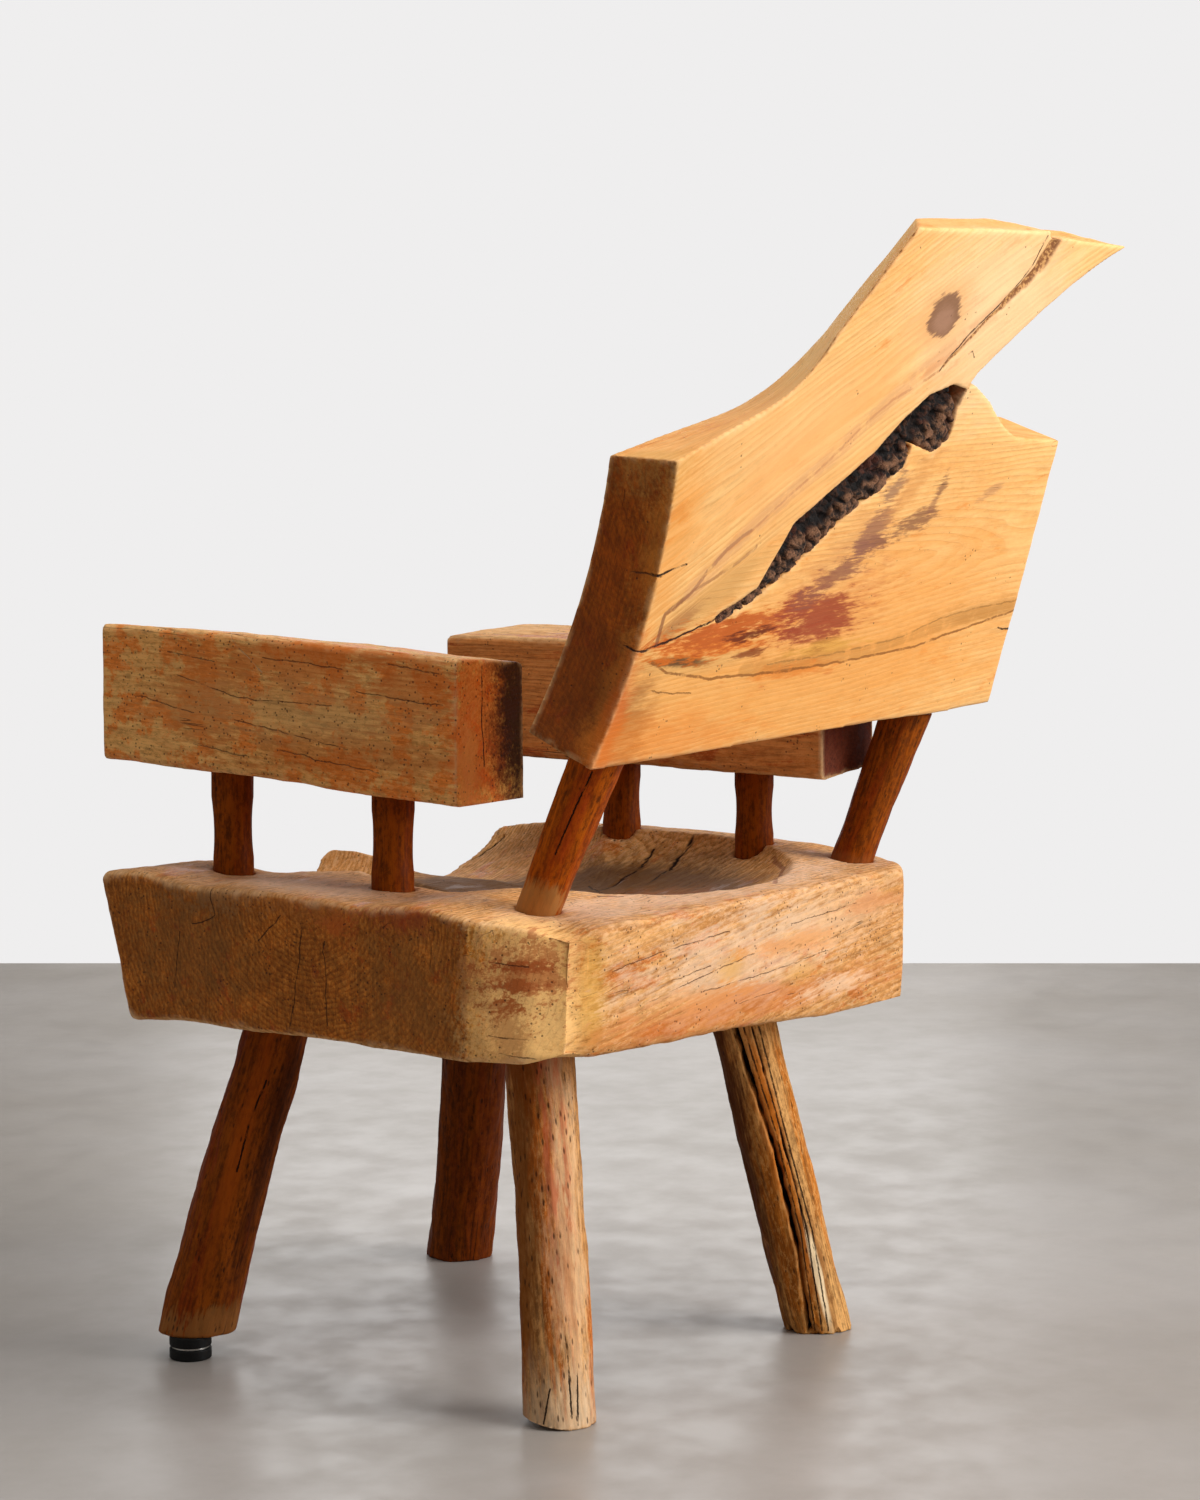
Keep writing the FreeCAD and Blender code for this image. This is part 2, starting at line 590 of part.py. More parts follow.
def back_point(pair, shift=(0, 0)):
    """Outline point of the leaning slab, shifted by clearances times a direction."""
    (across, up), (dx, dz) = pair, shift
    return (f"Sizes.back_middle_x + Sizes.back_width * {across}"
            f" + Sizes.socket_clearance * {dx}",
            f"Sizes.back_height * {up} + Sizes.socket_clearance * {dz}")


MITRE_LIMIT_share = 1.5


def inward_steps(shares):
    """Direction that moves each corner of a loop inwards by one clearance."""
    places = [(a * size("back_width"), u * size("back_height")) for a, u in shares]
    area = sum(a[0] * b[1] - b[0] * a[1] for a, b in zip(places, places[1:] + places[:1]))
    left_hand = math.copysign(1, area)
    steps = []
    for i, (x, z) in enumerate(places):
        before, after = places[i - 1], places[(i + 1) % len(places)]
        first = FreeCAD.Vector(x - before[0], z - before[1], 0).normalize()
        second = FreeCAD.Vector(after[0] - x, after[1] - z, 0).normalize()
        inner = [FreeCAD.Vector(-v.y, v.x, 0) * left_hand for v in (first, second)]
        mitre = inner[0] + inner[1]
        mitre = mitre / max(mitre.dot(inner[0]), 1 / MITRE_LIMIT_share)
        steps.append((round(mitre.x, 4), round(mitre.y, 4)))
    return steps


def lean_body(name):
    """A body that stands in the leaning slab's own axes."""
    body = new_body(name)
    body.Placement = FreeCAD.Placement(
        FreeCAD.Vector(), FreeCAD.Rotation(FreeCAD.Vector(-1, 0, 0), size("back_lean")))
    body.setExpression("Placement.Base.y", "Sizes.back_rear_y - Sizes.middle_y")
    body.setExpression("Placement.Base.z", BACK_BOTTOM)
    body.setExpression("Placement.Rotation.Angle", LEAN)
    return body


backrest = lean_body("backrest")
faces = []
for name, depth, corners, arcs in (
        ("rear_face", "0", BACK_REAR_shares, BACK_REAR_ARC_shares),
        ("front_face", "Sizes.back_thickness", BACK_FRONT_shares, BACK_FRONT_ARC_shares)):
    faces.append(outline(backrest, "XZ_Plane", name, [back_point(p) for p in corners],
                         {i: back_point(p) for i, p in arcs.items()}, ("0", "0", depth)))
loft(backrest, "slab", faces, ruled=True)

before = backrest.Shape.Volume
crevice_outline = outline(backrest, "XZ_Plane", "crevice_outline",
                          [back_point(p) for p in CREVICE_shares])
crevice = backrest.newObject("PartDesign::Pocket", "bark_crevice")
crevice.Profile = crevice_outline
crevice.setExpression("Length", "Sizes.crevice_depth")
crevice.Reversed = True
doc.recompute()
if not backrest.Shape.Volume < before:
    raise RuntimeError("the bark crevice removes nothing")

for side in ("left", "right"):
    before = backrest.Shape.Volume
    ring = round_section(backrest, "XY_Plane", f"{side}_hole_ring",
                         (f"Sizes.back_{side}_top_x",
                          f"-Sizes.back_thickness * {MID_BACK_share}", "0"),
                         "Sizes.back_tenon_dia / 2 + Sizes.socket_clearance")
    hole = backrest.newObject("PartDesign::Pocket", f"post_hole_{side}")
    hole.Profile = ring
    hole.setExpression("Length", "Sizes.back_post_tenon + Sizes.socket_clearance")
    hole.Reversed = True
    doc.recompute()
    if not backrest.Shape.Volume < before:
        raise RuntimeError(f"post_hole_{side} removes nothing")

bark = lean_body("bark_inclusion")
bark_loop = (BARK_END_share,) + CREVICE_shares[1:]
bark_outline = outline(
    bark, "XZ_Plane", "bark_outline",
    [back_point(p, step) for p, step in zip(bark_loop, inward_steps(bark_loop))],
    place=("0", "0", "Sizes.bark_recess"))
bark_pad = bark.newObject("PartDesign::Pad", "bark")
bark_pad.Profile = bark_outline
bark_pad.setExpression(
    "Length", "Sizes.crevice_depth - Sizes.bark_recess - Sizes.socket_clearance")
doc.recompute()

# Levelling pads: two rubber discs and a steel washer on one screw into the leg's foot.
BORE = "(Sizes.screw_dia / 2 + Sizes.socket_clearance)"
PAD_Y = depth_place("pad")


def build_disc(name, level, thickness, dia, rounded):
    body = new_body(name)
    ring = round_section(body, "XY_Plane", f"{name}_ring",
                         ("Sizes.pad_x", PAD_Y, level), f"{dia} / 2")
    disc = body.newObject("PartDesign::Pad", f"{name}_disc")
    disc.Profile = ring
    disc.setExpression("Length", thickness)
    doc.recompute()
    if rounded:
        round_edges(body, f"{name}_rims", "Sizes.pad_round",
                    lambda edge: edge.Curve.TypeId == "Part::GeomCircle")
    drill(body, f"{name}_bore", ("Sizes.pad_x", PAD_Y, level), BORE, thickness)
    return body


def drill(body, name, place, radius, length):
    """Round hole upwards from a place given by expressions."""
    before = body.Shape.Volume
    ring = round_section(body, "XY_Plane", f"{name}_ring", place, radius)
    hole = body.newObject("PartDesign::Pocket", name)
    hole.Profile = ring
    hole.setExpression("Length", length)
    hole.Reversed = True
    doc.recompute()
    if not body.Shape.Volume < before:
        raise RuntimeError(f"{name} removes nothing")


HEAD_TOP = "(Sizes.screw_head_recess + Sizes.screw_head_height)"
UPPER_PAD = "(Sizes.pad_thickness + Sizes.washer_thickness)"
lower_pad = build_disc("foot_pad_lower", "0", "Sizes.pad_thickness", "Sizes.pad_dia", True)
drill(lower_pad, "head_recess", ("Sizes.pad_x", PAD_Y, "0"),
      "Sizes.screw_head_dia / 2 + Sizes.socket_clearance", HEAD_TOP)
build_disc("foot_washer", "Sizes.pad_thickness", "Sizes.washer_thickness",
           "Sizes.washer_dia", False)
build_disc("foot_pad_upper", UPPER_PAD, "Sizes.pad_thickness", "Sizes.pad_dia", True)
drill(legs["front_left"], "screw_bore", ("Sizes.pad_x", PAD_Y, PAD_STACK), BORE,
      "Sizes.screw_grip + Sizes.socket_clearance")

screw = new_body("foot_screw")
for name, level, radius, length in (
        ("head", "Sizes.screw_head_recess", "Sizes.screw_head_dia / 2",
         "Sizes.screw_head_height"),
        ("shank", HEAD_TOP, "Sizes.screw_dia / 2",
         f"{PAD_STACK} + Sizes.screw_grip - {HEAD_TOP}")):
    pad = screw.newObject("PartDesign::Pad", name)
    pad.Profile = round_section(screw, "XY_Plane", f"{name}_ring",
                                ("Sizes.pad_x", PAD_Y, level), radius)
    pad.setExpression("Length", length)
    doc.recompute()

# The chair's frame: the middle of the whole plan moves to x = 0 and y = 0.
bodies = [o for o in doc.Objects if o.TypeId == "PartDesign::Body"]
whole = Part.makeCompound([body.Shape for body in bodies]).optimalBoundingBox()
sheet.set(CELL["middle_x"], str(round(whole.Center.x, 3)))
sheet.set(CELL["middle_y"], str(round(whole.Center.y, 3)))
doc.recompute()

print(f"plan middle: {size('middle_x')}, {size('middle_y')}")

# Checks before anything is written
for item in doc.Objects:
    if {"Invalid", "Error"} & set(item.State):
        raise RuntimeError(f"{item.Name} failed: {item.State}")
for body in bodies:
    if body.Shape.isNull() or not body.Shape.isValid() or len(body.Shape.Solids) != 1:
        raise RuntimeError(f"{body.Label} is not one valid solid")

os.makedirs("parts", exist_ok=True)
for body in bodies:
    body.Shape.exportStep(f"parts/{body.Label}.step")
    box = body.Shape.BoundBox
    print(f"{body.Label}: {body.Shape.Volume / 1000:.1f} cm3, "
          f"{box.XLength:.1f} x {box.YLength:.1f} x {box.ZLength:.1f} mm")
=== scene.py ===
"""Looks of a rustic armchair: hewn half-log seat, branch legs, beam armrests, slab back."""

import logging
import math
from dataclasses import dataclass, replace
from enum import Enum
from typing import Callable, Sequence

import bmesh
import bpy
import numpy as np
from mathutils import Euler, Matrix, Vector, noise

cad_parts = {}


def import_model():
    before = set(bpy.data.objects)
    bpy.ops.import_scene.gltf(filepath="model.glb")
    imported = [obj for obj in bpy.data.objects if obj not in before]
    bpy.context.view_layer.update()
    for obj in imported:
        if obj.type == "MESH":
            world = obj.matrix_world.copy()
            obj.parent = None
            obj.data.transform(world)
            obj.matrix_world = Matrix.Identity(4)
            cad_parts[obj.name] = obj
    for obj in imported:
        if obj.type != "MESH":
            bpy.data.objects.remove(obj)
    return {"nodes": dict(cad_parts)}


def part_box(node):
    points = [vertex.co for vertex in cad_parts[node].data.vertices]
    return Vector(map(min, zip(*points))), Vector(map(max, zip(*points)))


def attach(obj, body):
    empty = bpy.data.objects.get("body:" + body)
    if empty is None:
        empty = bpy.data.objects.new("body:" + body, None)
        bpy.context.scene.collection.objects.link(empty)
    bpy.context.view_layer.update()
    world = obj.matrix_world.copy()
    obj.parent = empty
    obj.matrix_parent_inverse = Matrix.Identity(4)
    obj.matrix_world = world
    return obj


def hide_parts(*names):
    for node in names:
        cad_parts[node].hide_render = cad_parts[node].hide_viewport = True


SQUEEZE = 0.85
NOISE_SEED = 7
CRACK_FRAY_REACH = 0.0012
CARVE_FINENESS = 60
WOOD_RELIEF = 0.0009
BARK_RELIEF = 0.005
log = logging.getLogger("twig_chair")

Point = tuple[float, float, float]
Colour = tuple[float, float, float]
# Where a change begins and where it is complete, in metres.
Span = tuple[float, float]
Socket = bpy.types.NodeSocket


class Slot(Enum):
    """Material slots of the record."""

    SEAT = "seat_wood"
    LEG = "leg_wood"
    POST = "post_wood"
    SLAB = "slab_wood"
    ARM = "arm_wood"
    BARK = "bark"


class Blend(Enum):
    """Ways of laying one colour over another."""

    COVER = "MIX"
    SHADE = "MULTIPLY"


def tone(code: str) -> Colour:
    """Linear colour of a hexadecimal screen colour such as c98f4e."""
    parts = (int(code[i:i + 2], 16) / 255 for i in (0, 2, 4))
    return tuple(v / 12.92 if v <= 0.04045 else ((v + 0.055) / 1.055) ** 2.4 for v in parts)


def mm(*values: float) -> tuple[float, ...]:
    """Metres from millimetres."""
    return tuple(value / 1000 for value in values)


def path(*points: Point) -> tuple[Point, ...]:
    """A polyline in metres from points in millimetres."""
    return tuple(mm(*point) for point in points)


def soft_step(low: float, high: float, value: np.ndarray) -> np.ndarray:
    """Soft ramp from 0 at low to 1 at high."""
    share = np.clip((value - low) / (high - low), 0.0, 1.0)
    return share * share * (3 - 2 * share)


@dataclass(frozen=True)
class Frame:
    """A frame on the chair: where its origin lies and how it is turned."""

    origin: Point = (0.0, 0.0, 0.0)
    turn: Point = (0.0, 0.0, 0.0)

    def local(self, places: np.ndarray) -> np.ndarray:
        """Chair places seen from this frame."""
        return (places - np.array(self.origin)) @ np.array(Euler(self.turn).to_matrix())

    def matrix(self) -> Matrix:
        """Transform from this frame to the chair."""
        return Matrix.Translation(self.origin) @ Euler(self.turn).to_matrix().to_4x4()


@dataclass(frozen=True)
class Pattern:
    """A cloud noise, drawn out along z where the run is under 1."""

    scale: float
    run: float = 1.0
    detail: float = 2.0
    rough: float = 0.5


# Noise patterns, named for what they draw.
LOG_WANDER = Pattern(7.0, 0.35)
RING_UNEVEN = Pattern(42.0, 0.06)
FIBRE = Pattern(360.0, 0.05, 3.0, 0.65)
STREAK = Pattern(60.0, 0.06, 3.0, 0.6)
BROAD = Pattern(14.0, 0.3, 4.0, 0.6)
WORN_PATCH = Pattern(26.0, 1.0, 9.0, 0.72)
SCUFF = Pattern(240.0, 0.45, 6.0, 0.78)
CHECK_LINE = Pattern(85.0, 0.05)
CHECK_PLACE = Pattern(16.0, 0.5)
UPRIGHT_SAW = Pattern(330.0, 0.10, 4.0, 0.75)
SLANTED_SAW = Pattern(240.0, 0.12, 4.0, 0.75)
SAW_PATCH = Pattern(22.0, 1.0, 6.0, 0.7)
SPECK_DRIFT = Pattern(45.0, 1.0, 4.0)
FRAY = Pattern(330.0, 0.12, 4.0, 0.7)
STAIN_PATCH = Pattern(60.0, 0.35, 5.0, 0.65)
RUBBED = Pattern(70.0, 1.0, 4.0, 0.65)
CRACK_SWING = Pattern(60.0, 1.0, 4.0)
CRACK_FRAY = Pattern(400.0)
CRACK_GAPS = Pattern(50.0, 1.0, 4.0, 0.65)
TORN_WOOD = Pattern(260.0, 1.0, 4.0, 0.7)
BARK_LUMPS = Pattern(120.0, 1.0, 6.0, 0.7)
BARK_GRIT = Pattern(900.0, 1.0, 3.0, 0.6)
BARK_PATCH = Pattern(30.0, 1.0, 3.0, 0.6)
RUBBER_DUST = Pattern(160.0, 1.0, 5.0, 0.7)
STEEL_LINES = Pattern(400.0, 12.0, 3.0)
FLOOR_CLOUD = Pattern(1.6, 1.0, 5.0, 0.62)
FLOOR_FINE = Pattern(14.0, 1.0, 5.0, 0.6)

CHAIR = Frame()
# On the leaning slab: x across to the sitter's left, -y into the wood, z up the slab.
BACK = Frame(mm(29.93, 214.33, 566), (math.radians(-19), 0.0, 0.0))


class Recipe:
    """A material under construction, with short ways to add shader nodes."""

    def __init__(self, name: str, frame: Frame = CHAIR) -> None:
        """Start an empty node material.

        Args:
            name: name of the material.
            frame: frame in which its pattern is laid out.
        """
        self.material = bpy.data.materials.new(name)
        self.material.use_nodes = True
        self.tree = self.material.node_tree
        self.tree.nodes.clear()
        self.place = self.node("ShaderNodeTexCoord").outputs["Object"]
        if frame is not CHAIR:
            self.place = self.framed(self.place, frame.origin, Euler(frame.turn))

    def node(self, kind: str, **values: object) -> bpy.types.Node:
        """Add a node and set its plain properties.

        Args:
            kind: node type.
            values: properties of the node.

        Returns:
            The new node.
        """
        made = self.tree.nodes.new(kind)
        for key, value in values.items():
            setattr(made, key, value)
        return made

    def feed(self, socket: Socket, value: object) -> None:
        """Link a socket, or set a number or vector on it."""
        if isinstance(value, bpy.types.NodeSocket):
            self.tree.links.new(value, socket)
        else:
            socket.default_value = value

    def math(self, operation: str, *values: object) -> Socket:
        """One math node.

        Args:
            operation: Blender's name of the operation.
            values: sockets or numbers.

        Returns:
            The result socket.
        """
        made = self.node("ShaderNodeMath", operation=operation)
        for socket, value in zip(made.inputs, values):
            self.feed(socket, value)
        return made.outputs[0]

    def times(self, first: object, second: object) -> Socket:
        """Product of two numbers."""
        return self.math("MULTIPLY", first, second)

    def plus(self, first: object, second: object) -> Socket:
        """Sum of two numbers."""
        return self.math("ADD", first, second)

    def less(self, first: object, second: object) -> Socket:
        """The first number less the second."""
        return self.math("SUBTRACT", first, second)

    def vector(self, operation: str, *values: object) -> bpy.types.Node:
        """One vector math node, returned whole for its Vector or Value output."""
        made = self.node("ShaderNodeVectorMath", operation=operation)
        for socket, value in zip(made.inputs, values):
            self.feed(socket, value)
        return made

    def scaled(self, place: Socket, scale: Point) -> Socket:
        """Place multiplied axis by axis."""
        return self.vector("MULTIPLY", place, scale).outputs["Vector"]

    def framed(self, place: Socket, origin: Point, turn: Euler, scale: Point = (1, 1, 1)) -> Socket:
        """Place seen from a frame with its own origin, turn and scale."""
        made = self.node("ShaderNodeMapping", vector_type="TEXTURE")
        self.feed(made.inputs["Vector"], place)
        made.inputs["Location"].default_value = origin
        made.inputs["Rotation"].default_value = turn
        made.inputs["Scale"].default_value = scale
        return made.outputs["Vector"]

    def cloud(self, place: Socket, pattern: Pattern) -> bpy.types.Node:
        """Cloud noise, returned whole for its Fac or Color output."""
        if pattern.run != 1.0:
            place = self.scaled(place, (1, 1, pattern.run))
        made = self.node("ShaderNodeTexNoise")
        self.feed(made.inputs["Vector"], place)
        made.inputs["Scale"].default_value = pattern.scale
        made.inputs["Detail"].default_value = pattern.detail
        made.inputs["Roughness"].default_value = pattern.rough
        return made

    def noise(self, place: Socket, pattern: Pattern) -> Socket:
        """Cloud noise from about 0 to 1."""
        return self.cloud(place, pattern).outputs["Fac"]

    def wandering(self, place: Socket, pattern: Pattern, reach: Point) -> Socket:
        """Place swung about by a cloud, up to half the reach each way."""
        swing = self.vector("SUBTRACT", self.cloud(place, pattern).outputs["Color"],
                            (0.5, 0.5, 0.5)).outputs["Vector"]
        return self.vector("ADD", place, self.scaled(swing, reach)).outputs["Vector"]

    def cells(self, place: Socket, scale: float) -> Socket:
        """Distance to the nearest point of a scatter."""
        made = self.node("ShaderNodeTexVoronoi")
        self.feed(made.inputs["Vector"], place)
        made.inputs["Scale"].default_value = scale
        return made.outputs["Distance"]

    def painted(self, name: str) -> Socket:
        """Value painted on the piece's own points."""
        return self.node("ShaderNodeAttribute", attribute_name=name).outputs["Fac"]

    def ramp(self, value: Socket, low: float, high: float, start: float = 0.0,
             end: float = 1.0) -> Socket:
        """Smooth ramp of a value from one range to another."""
        made = self.node("ShaderNodeMapRange", interpolation_type="SMOOTHSTEP")
        for socket, number in zip(made.inputs, (value, low, high, start, end)):
            self.feed(socket, number)
        return made.outputs[0]

    def between(self, first: Socket, second: Socket, share: Socket) -> Socket:
        """Number between two others."""
        made = self.node("ShaderNodeMix", data_type="FLOAT")
        for index, value in ((0, share), (2, first), (3, second)):
            self.feed(made.inputs[index], value)
        return made.outputs[0]

    def over(self, base: object, top: object, mask: object, way: Blend = Blend.COVER) -> Socket:
        """Colour laid over another through a mask.

        Args:
            base: colour below.
            top: colour above.
            mask: 0 shows the base, 1 the top.
            way: how the two meet.

        Returns:
            The mixed colour.
        """
        made = self.node("ShaderNodeMix", data_type="RGBA", blend_type=way.value)
        self.feed(made.inputs[0], mask)
        for socket, value in ((made.inputs[6], base), (made.inputs[7], top)):
            self.feed(socket, value if isinstance(value, bpy.types.NodeSocket) else (*value, 1))
        return made.outputs[2]

    def grey(self, value: Socket) -> Socket:
        """Grey colour of a number."""
        made = self.node("ShaderNodeCombineXYZ")
        for socket in made.inputs:
            self.feed(socket, value)
        return made.outputs[0]

    def pressed(self, place: Socket, normal: Point) -> Socket:
        """Place squeezed along a face's normal, so that lines follow an uneven face."""
        off = self.vector("PROJECT", place, normal).outputs["Vector"]
        off = self.scaled(off, (SQUEEZE,) * 3)
        return self.vector("SUBTRACT", place, off).outputs["Vector"]

    def line(self, place: Socket, points: Sequence[Point]) -> Socket:
        """Distance from a place to a polyline."""
        nearest = None
        for start, end in zip(points, points[1:]):
            run = Vector(end) - Vector(start)
            reach = self.vector("SUBTRACT", place, tuple(start)).outputs["Vector"]
            share = self.vector("DOT_PRODUCT", reach, tuple(run / run.length_squared))
            share = self.math("MAXIMUM", self.math("MINIMUM", share.outputs["Value"], 1.0), 0.0)
            foot = self.vector("SCALE", tuple(run))
            self.feed(foot.inputs["Scale"], share)
            gap = self.vector("DISTANCE", reach, foot.outputs["Vector"]).outputs["Value"]
            nearest = gap if nearest is None else self.math("MINIMUM", nearest, gap)
        return nearest

    def finish(self, colour: Socket, rough: object, height: Socket, depth: float,
               **shader: float) -> bpy.types.Material:
        """Close the material.

        Args:
            colour: base colour.
            rough: roughness, a number or a socket.
            height: relief from 0 to 1.
            depth: height of the relief in metres.
            shader: plain numbers set on the shader's own sockets.

        Returns:
            The finished material.
        """
        shade = self.node("ShaderNodeBsdfPrincipled")
        self.feed(shade.inputs["Base Color"], colour)
        self.feed(shade.inputs["Roughness"], rough)
        for key, value in shader.items():
            shade.inputs[key.replace("_", " ")].default_value = value
        bump = self.node("ShaderNodeBump")
        bump.inputs["Distance"].default_value = depth
        self.feed(bump.inputs["Height"], height)
        self.feed(shade.inputs["Normal"], bump.outputs["Normal"])
        out = self.node("ShaderNodeOutputMaterial")
        self.feed(out.inputs["Surface"], shade.outputs["BSDF"])
        return self.material


def along_axis(direction: Point) -> Euler:
    """Turn that lays the z axis of a frame along a direction."""
    return Vector(direction).to_track_quat("Z", "Y").to_euler()


@dataclass(frozen=True)
class Mark:
    """An ellipsoid of colour on a piece, in the piece's frame, in metres: mostly stains, and where
    noted painted shade or a painted highlight.
    """

    centre: Point
    radii: Point
    colour: Colour
    strength: float
    soft: float
    along: Point
    ragged: float


def stain(centre: Point, radii: Point, code: str, strength: float, soft: float,
          along: Point = (0.0, 0.0, 1.0), ragged: float = 1.0) -> Mark:
    """A mark from millimetres and a screen colour.

    Args:
        centre: its middle, in the piece's frame.
        radii: its reach along its own three axes.
        code: hexadecimal colour.
        strength: how much it covers, at most 1.
        soft: how far its rim fades in and out, as a share of the reach.
        along: direction of its third axis.
        ragged: how strongly its rim frays.

    Returns:
        The mark.
    """
    return Mark(mm(*centre), mm(*radii), tone(code), strength, soft, along, ragged)


@dataclass(frozen=True)
class Split:
    """A drying crack or a stained line along a polyline, in the piece's frame."""

    points: tuple[Point, ...]
    width: float = 0.0012
    colour: Colour = tone("1a0b04")
    strength: float = 0.95
    depth: float = 1.0
    face: Point = (0.0, 1.0, 0.0)

    def pressed(self) -> tuple[Vector, ...]:
        """The points, squeezed along the normal of the face that the line follows."""
        spots = (Vector(point) for point in self.points)
        return tuple(spot - spot.project(Vector(self.face)) * SQUEEZE for spot in spots)


@dataclass(frozen=True)
class Groove:
    """A crack deep enough to be cut into the mesh."""

    points: tuple[Point, ...]
    width: float
    depth: float

    def reach(self, places: np.ndarray) -> np.ndarray:
        """Share of the full depth, 1 in the middle and 0 outside."""
        nearest = np.full(len(places), np.inf)
        for start, end in zip(np.array(self.points), np.array(self.points[1:])):
            run = end - start
            share = np.clip((places - start) @ run / (run @ run), 0.0, 1.0)
            gap = np.linalg.norm(places - start - share[:, None] * run, axis=1)
            nearest = np.minimum(nearest, gap)
        return soft_step(0.0, 1.0, 1 - nearest / (self.width / 2))


@dataclass(frozen=True)
class FaceTone:
    """Shade of the faces that look one way, such as end grain."""

    name: str
    towards: Point
    colour: Colour
    strength: float = 0.9
    low: float = 0.72
    high: float = 0.9
    sawn: float = 0.0


@dataclass(frozen=True)
class Skin:
    """Colour, relief and varnish of plain wood."""

    colour: Socket
    height: Socket
    coat: Socket


@dataclass(frozen=True)
class LogFinish:
    """Wood of one log: growth rings round a pith line, fibres, worn varnish and dirt."""

    name: str
    pith: Point
    along: Point
    pale: Colour
    late: Colour
    tint: Colour
    varnish: Colour
    frame: Frame = CHAIR
    ring: float = 0.0024
    ring_strength: float = 0.5
    varnish_amount: float = 0.4
    speckle: float = 0.4
    speck_run: float = 1.0
    check: float = 0.5
    streak: float = 0.75
    fibre: float = 0.7
    patch_run: float = 0.3
    grime: float = 0.35
    crack_wander: float = 0.005
    crack_break: float = 0.2
    gloss: float = 0.15
    bare_rough: float = 0.68
    coat_rough: float = 0.45
    wander: float = 0.010
    wear: Colour = tone("d9ad78")
    wear_strength: float = 0.45
    faces: tuple[FaceTone, ...] = ()
    marks: tuple[Mark, ...] = ()
    splits: tuple[Split, ...] = ()
    cut_colour: Colour = tone("1d0c04")
    cut_flake: Colour = tone("2a1408")
    dirt_colour: Colour = tone("2a1408")

    def log_place(self, recipe: Recipe, pith: Point, along: Point) -> Socket:
        """Place in the log's own frame, z along the pith, with the log's natural wander."""
        straight = recipe.framed(recipe.place, pith, along_axis(along))
        return recipe.wandering(straight, LOG_WANDER, (self.wander * 2, self.wander * 2, 0.0))

    def rings(self, recipe: Recipe, place: Socket) -> Socket:
        """Latewood mask of the growth rings, sharp on the outside of each ring."""
        radius = recipe.vector("LENGTH", recipe.scaled(place, (1.0, 1.0, 0.0))).outputs["Value"]
        uneven = recipe.noise(place, RING_UNEVEN)
        radius = recipe.plus(radius, recipe.times(uneven, self.ring * 2.2))
        turn = recipe.math("FRACT", recipe.math("DIVIDE", radius, self.ring))
        return recipe.times(recipe.ramp(turn, 0.2, 0.9), recipe.ramp(turn, 0.92, 1.0, 1.0, 0.0))

    def plain(self, recipe: Recipe, place: Socket) -> Skin:
        """The wood before marks and dirt.

        Args:
            recipe: material under construction.
            place: place in the log's frame.

        Returns:
            Colour, relief and varnish.
        """
        rings = self.rings(recipe, place)
        fibre, streak = recipe.noise(place, FIBRE), recipe.noise(place, STREAK)
        broad, scuff = recipe.noise(place, BROAD), recipe.noise(place, SCUFF)
        worn = recipe.noise(place, replace(WORN_PATCH, run=self.patch_run))
        worn = recipe.plus(worn, recipe.times(streak, 0.35))
        colour = recipe.over(self.pale, self.late, recipe.times(rings, self.ring_strength))
        colour = recipe.over(colour, self.tint, recipe.ramp(streak, 0.42, 0.7, 0.0, self.streak))
        colour = recipe.over(colour, self.tint, recipe.ramp(broad, 0.45, 0.7, 0.0, 0.6))
        edge = 0.86 - 0.34 * self.varnish_amount
        coat = recipe.ramp(worn, edge - 0.02, edge + 0.04)
        colour = recipe.over(colour, self.varnish, recipe.times(coat, 0.75))
        dark = recipe.grey(recipe.ramp(fibre, 0.34, 0.6, 0.5, 1.08))
        colour = recipe.over(colour, dark, self.fibre, Blend.SHADE)
        bare = recipe.ramp(scuff, 0.43, 0.49, 1.0, 0.0)
        colour = recipe.over(colour, self.wear, recipe.times(bare, self.grime * 0.8))
        soil = recipe.times(recipe.ramp(scuff, 0.505, 0.57),
                            recipe.ramp(worn, 0.42, 0.75, 1.0, 0.35))
        colour = recipe.over(colour, self.dirt_colour, recipe.times(soil, self.grime))
        height = recipe.plus(recipe.times(fibre, 0.35), recipe.times(rings, -0.12))
        height = recipe.plus(height, recipe.times(coat, 0.08))
        return Skin(colour, height, coat)

    def grown(self, recipe: Recipe) -> tuple[Skin, Socket]:
        """Plain wood and the log place it was laid out in."""
        place = self.log_place(recipe, self.pith, self.along)
        return self.plain(recipe, place), place

    def checks(self, recipe: Recipe, place: Socket) -> Socket:
        """Thin drying checks that run along the fibres or out from the pith."""
        near = recipe.math("ABSOLUTE", recipe.less(recipe.noise(place, CHECK_LINE), 0.5))
        thin = recipe.ramp(near, 0.0, 0.012, 1.0, 0.0)
        limit = 0.70 - 0.18 * self.check
        where = recipe.ramp(recipe.noise(place, CHECK_PLACE), limit, limit + 0.08)
        return recipe.times(thin, where)

    def saw_marks(self, recipe: Recipe) -> Socket:
        """Upright and slanting marks of the saw, with worn patches between them."""
        leaning = recipe.framed(recipe.place, (0, 0, 0), (0.7, 0.3, 0.0))
        upright = recipe.ramp(recipe.noise(recipe.place, UPRIGHT_SAW), 0.36, 0.60, 0.62, 1.12)
        slanting = recipe.ramp(recipe.noise(leaning, SLANTED_SAW), 0.38, 0.58, 0.72, 1.12)
        patch = recipe.ramp(recipe.noise(recipe.place, SAW_PATCH), 0.4, 0.6, 0.8, 1.2)
        return recipe.grey(recipe.times(recipe.times(upright, slanting), patch))

